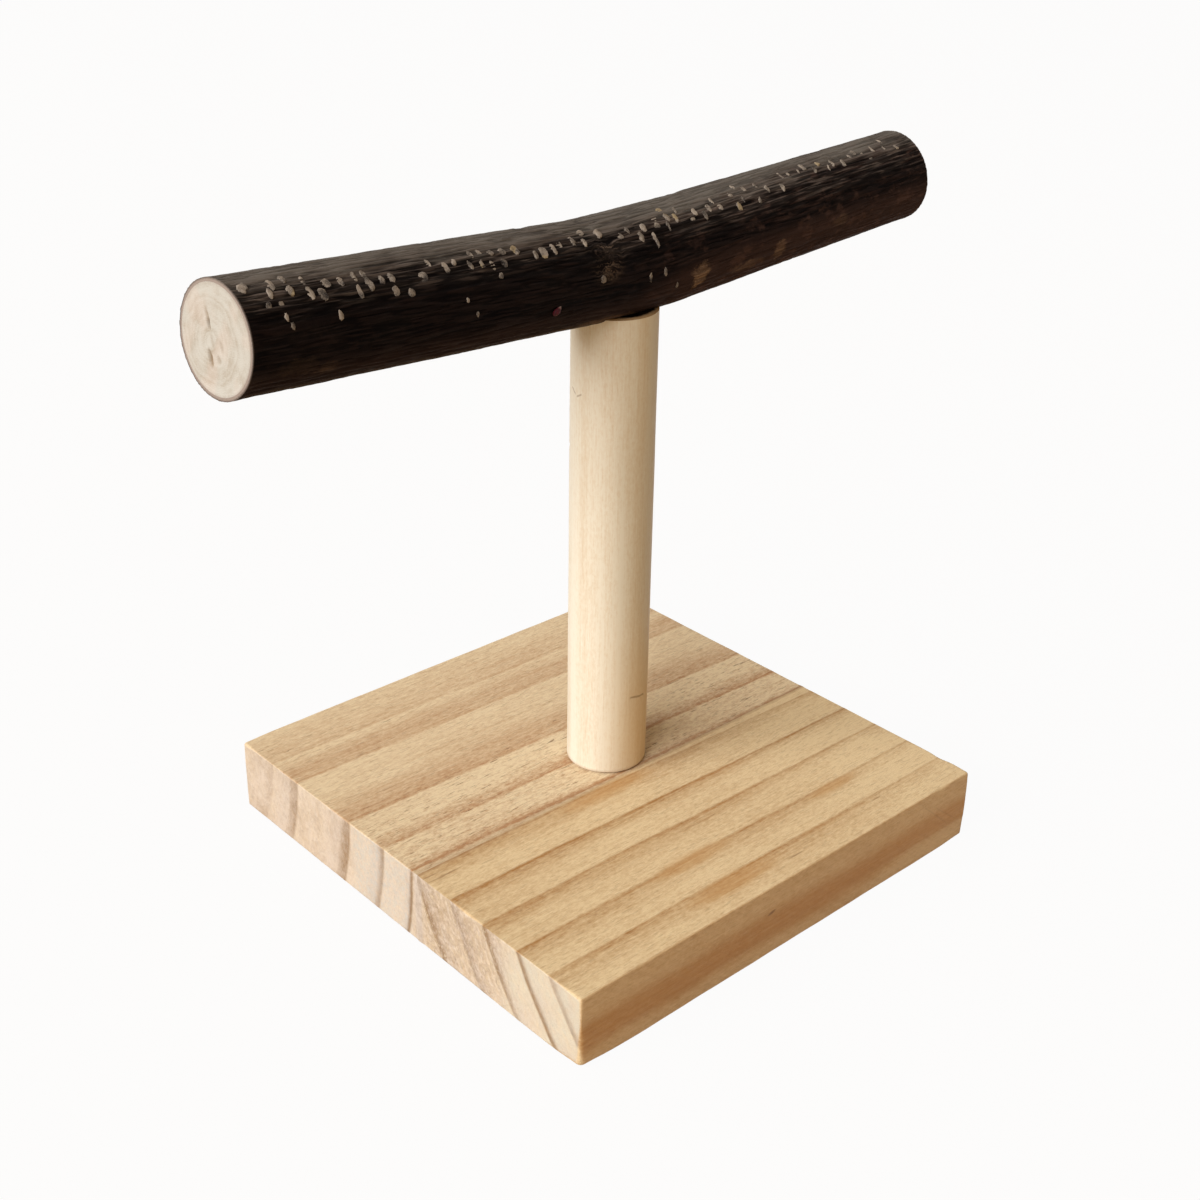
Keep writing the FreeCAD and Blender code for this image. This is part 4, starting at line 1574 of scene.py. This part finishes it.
class StageLook(bpy.types.PropertyGroup):
    """Camera, light and floor."""
    camera_place: FloatVectorProperty(
        name="Camera place", description="Where the camera stands", subtype="TRANSLATION", unit="LENGTH",
        default=(-0.244994, -0.265152, 0.251556))
    heading: angle_setting("Heading", "Turn of the view from +X towards +Y", 47.496)
    dip: angle_setting("Dip", "How far the view looks down", 27.506)
    roll: angle_setting("Roll", "Turn of the camera about its view", 0.981)
    lens: FloatProperty(name="Lens", description="Focal length in millimetres", default=50.83)
    key_power: FloatProperty(
        name="Key light", description="Power of the large soft lamp", default=524.0, unit="POWER")
    key_size: FloatVectorProperty(
        name="Key size", description="Width and height of the soft lamp", size=2, unit="LENGTH",
        default=(6.8, 2.2))
    key_turn: angle_setting("Key turn", "Side that the soft lamp stands on, from +X towards +Y", 181)
    key_rise: angle_setting("Key rise", "Height of the soft lamp as an angle", 35.5)
    key_distance: length_setting("Key distance", "How far off the soft lamp stands", 6.0)
    sky: FloatProperty(name="Sky", description="Even light from all round", default=0.29)
    sky_colour: colour_setting("Sky colour", "Tint of the even light", (1.0, 0.71, 0.385))
    floor: colour_setting("Floor", "Colour of the floor", (0.56, 0.42, 0.27))
    floor_white: FloatProperty(
        name="Floor white", description="Share of plain white that the camera sees on the floor",
        default=0.955)


def seen_directly(start):
    """1 for rays from the camera, a gloss or a clear surface."""
    path = start.node("ShaderNodeLightPath").socket.node
    names = ("Is Camera Ray", "Is Glossy Ray", "Is Transmission Ray")
    camera, glossy, clear = (Wire(start.tree, path.outputs[name]) for name in names)
    return camera.most(glossy).most(clear)


class PERCH_OT_stage(bpy.types.Operator):
    """Sets the floor, the soft light and the camera"""
    bl_idname = "perch.stage"
    bl_label = "Stage"

    def execute(self, context):
        look = context.scene.perch_stage
        scene = context.scene
        scene.view_settings.view_transform = "Standard"

        world = bpy.data.worlds.new("soft_sky")
        world.use_nodes = True
        world.node_tree.nodes.clear()
        start = Wire(world.node_tree)
        direct = seen_directly(start)
        strength = look.sky + direct * (1 - look.sky)
        tint = direct.tint(look.sky_colour, (1.0, 1.0, 1.0))
        sky = start.node("ShaderNodeBackground", None, {"Color": tint, "Strength": strength})
        start.node("ShaderNodeOutputWorld", None, {"Surface": sky})
        scene.world = world

        reach = 3000.0
        level = -0.3
        corners = [(x * reach, y * reach, level) for x, y in ((-1, -1), (1, -1), (1, 1), (-1, 1))]
        floor = mesh_piece("floor", corners, [(0, 1, 2, 3)])
        material, start = new_material("pale_floor")
        matt = start.node("ShaderNodeBsdfDiffuse", None, {"Color": opaque(look.floor)})
        white = start.node("ShaderNodeEmission", None, {"Color": (1, 1, 1, 1), "Strength": 1.0})
        share = seen_directly(start) * look.floor_white
        mixed = start.node("ShaderNodeMixShader", None, {"Fac": share, "Shader": matt, "Shader_001": white})
        start.node("ShaderNodeOutputMaterial", None, {"Surface": mixed})
        floor.data.materials.append(material)

        lamp = bpy.data.lights.new("soft_key", "AREA")
        lamp.shape = "RECTANGLE"
        lamp.size, lamp.size_y = look.key_size
        lamp.energy = look.key_power
        key = bpy.data.objects.new("soft_key", lamp)
        target = Vector((0, 0, 0.07))
        direction = Vector((math.cos(look.key_turn) * math.cos(look.key_rise),
                            math.sin(look.key_turn) * math.cos(look.key_rise), math.sin(look.key_rise)))
        key.location = target + direction * look.key_distance
        key.rotation_euler = direction.to_track_quat("Z", "Y").to_euler()
        scene.collection.objects.link(key)

        lens = bpy.data.cameras.new("camera")
        lens.lens = look.lens
        lens.sensor_width = 36.0
        lens.clip_start = 0.01
        camera = bpy.data.objects.new("camera", lens)
        turn = Matrix.Rotation(look.heading - math.pi / 2, 4, "Z")
        tilt = Matrix.Rotation(math.pi / 2 - look.dip, 4, "X")
        camera.matrix_world = (Matrix.Translation(look.camera_place) @ turn @ tilt
                               @ Matrix.Rotation(look.roll, 4, "Z"))
        scene.collection.objects.link(camera)
        scene.camera = camera
        return {"FINISHED"}


class PERCH_PT_finish(bpy.types.Panel):
    """Lists the steps and the settings of the finish"""
    bl_label = "Perch stand"
    bl_space_type = "VIEW_3D"
    bl_region_type = "UI"
    bl_category = "Perch"

    def draw(self, context):
        for operator in OPERATORS:
            self.layout.operator(operator.bl_idname)
        for name in LOOKS:
            group = getattr(context.scene, name)
            box = self.layout.box()
            for key in group.bl_rna.properties.keys():
                if key not in ("rna_type", "name"):
                    box.prop(group, key)


LOOKS = {"perch_pine": PineLook, "perch_post": PostLook, "perch_branch": BranchLook,
         "perch_screws": ScrewLook, "perch_stage": StageLook}
OPERATORS = (PERCH_OT_stage, PERCH_OT_boards, PERCH_OT_post, PERCH_OT_core, PERCH_OT_bark, PERCH_OT_pores,
             PERCH_OT_bud, PERCH_OT_screws)


def register():
    for group in (*LOOKS.values(), *OPERATORS, PERCH_PT_finish):
        bpy.utils.register_class(group)
    for name, group in LOOKS.items():
        setattr(bpy.types.Scene, name, PointerProperty(type=group))


def unregister():
    for name in LOOKS:
        delattr(bpy.types.Scene, name)
    for group in (PERCH_PT_finish, *reversed(OPERATORS), *reversed(LOOKS.values())):
        bpy.utils.unregister_class(group)


def main():
    register()
    bpy.ops.perch.stage()
    bpy.ops.perch.boards()
    bpy.ops.perch.post()
    bpy.ops.perch.core()
    bpy.ops.perch.bark()
    bpy.ops.perch.pores()
    bpy.ops.perch.bud()
    bpy.ops.perch.screws()


if __name__ == "__main__":
    main()
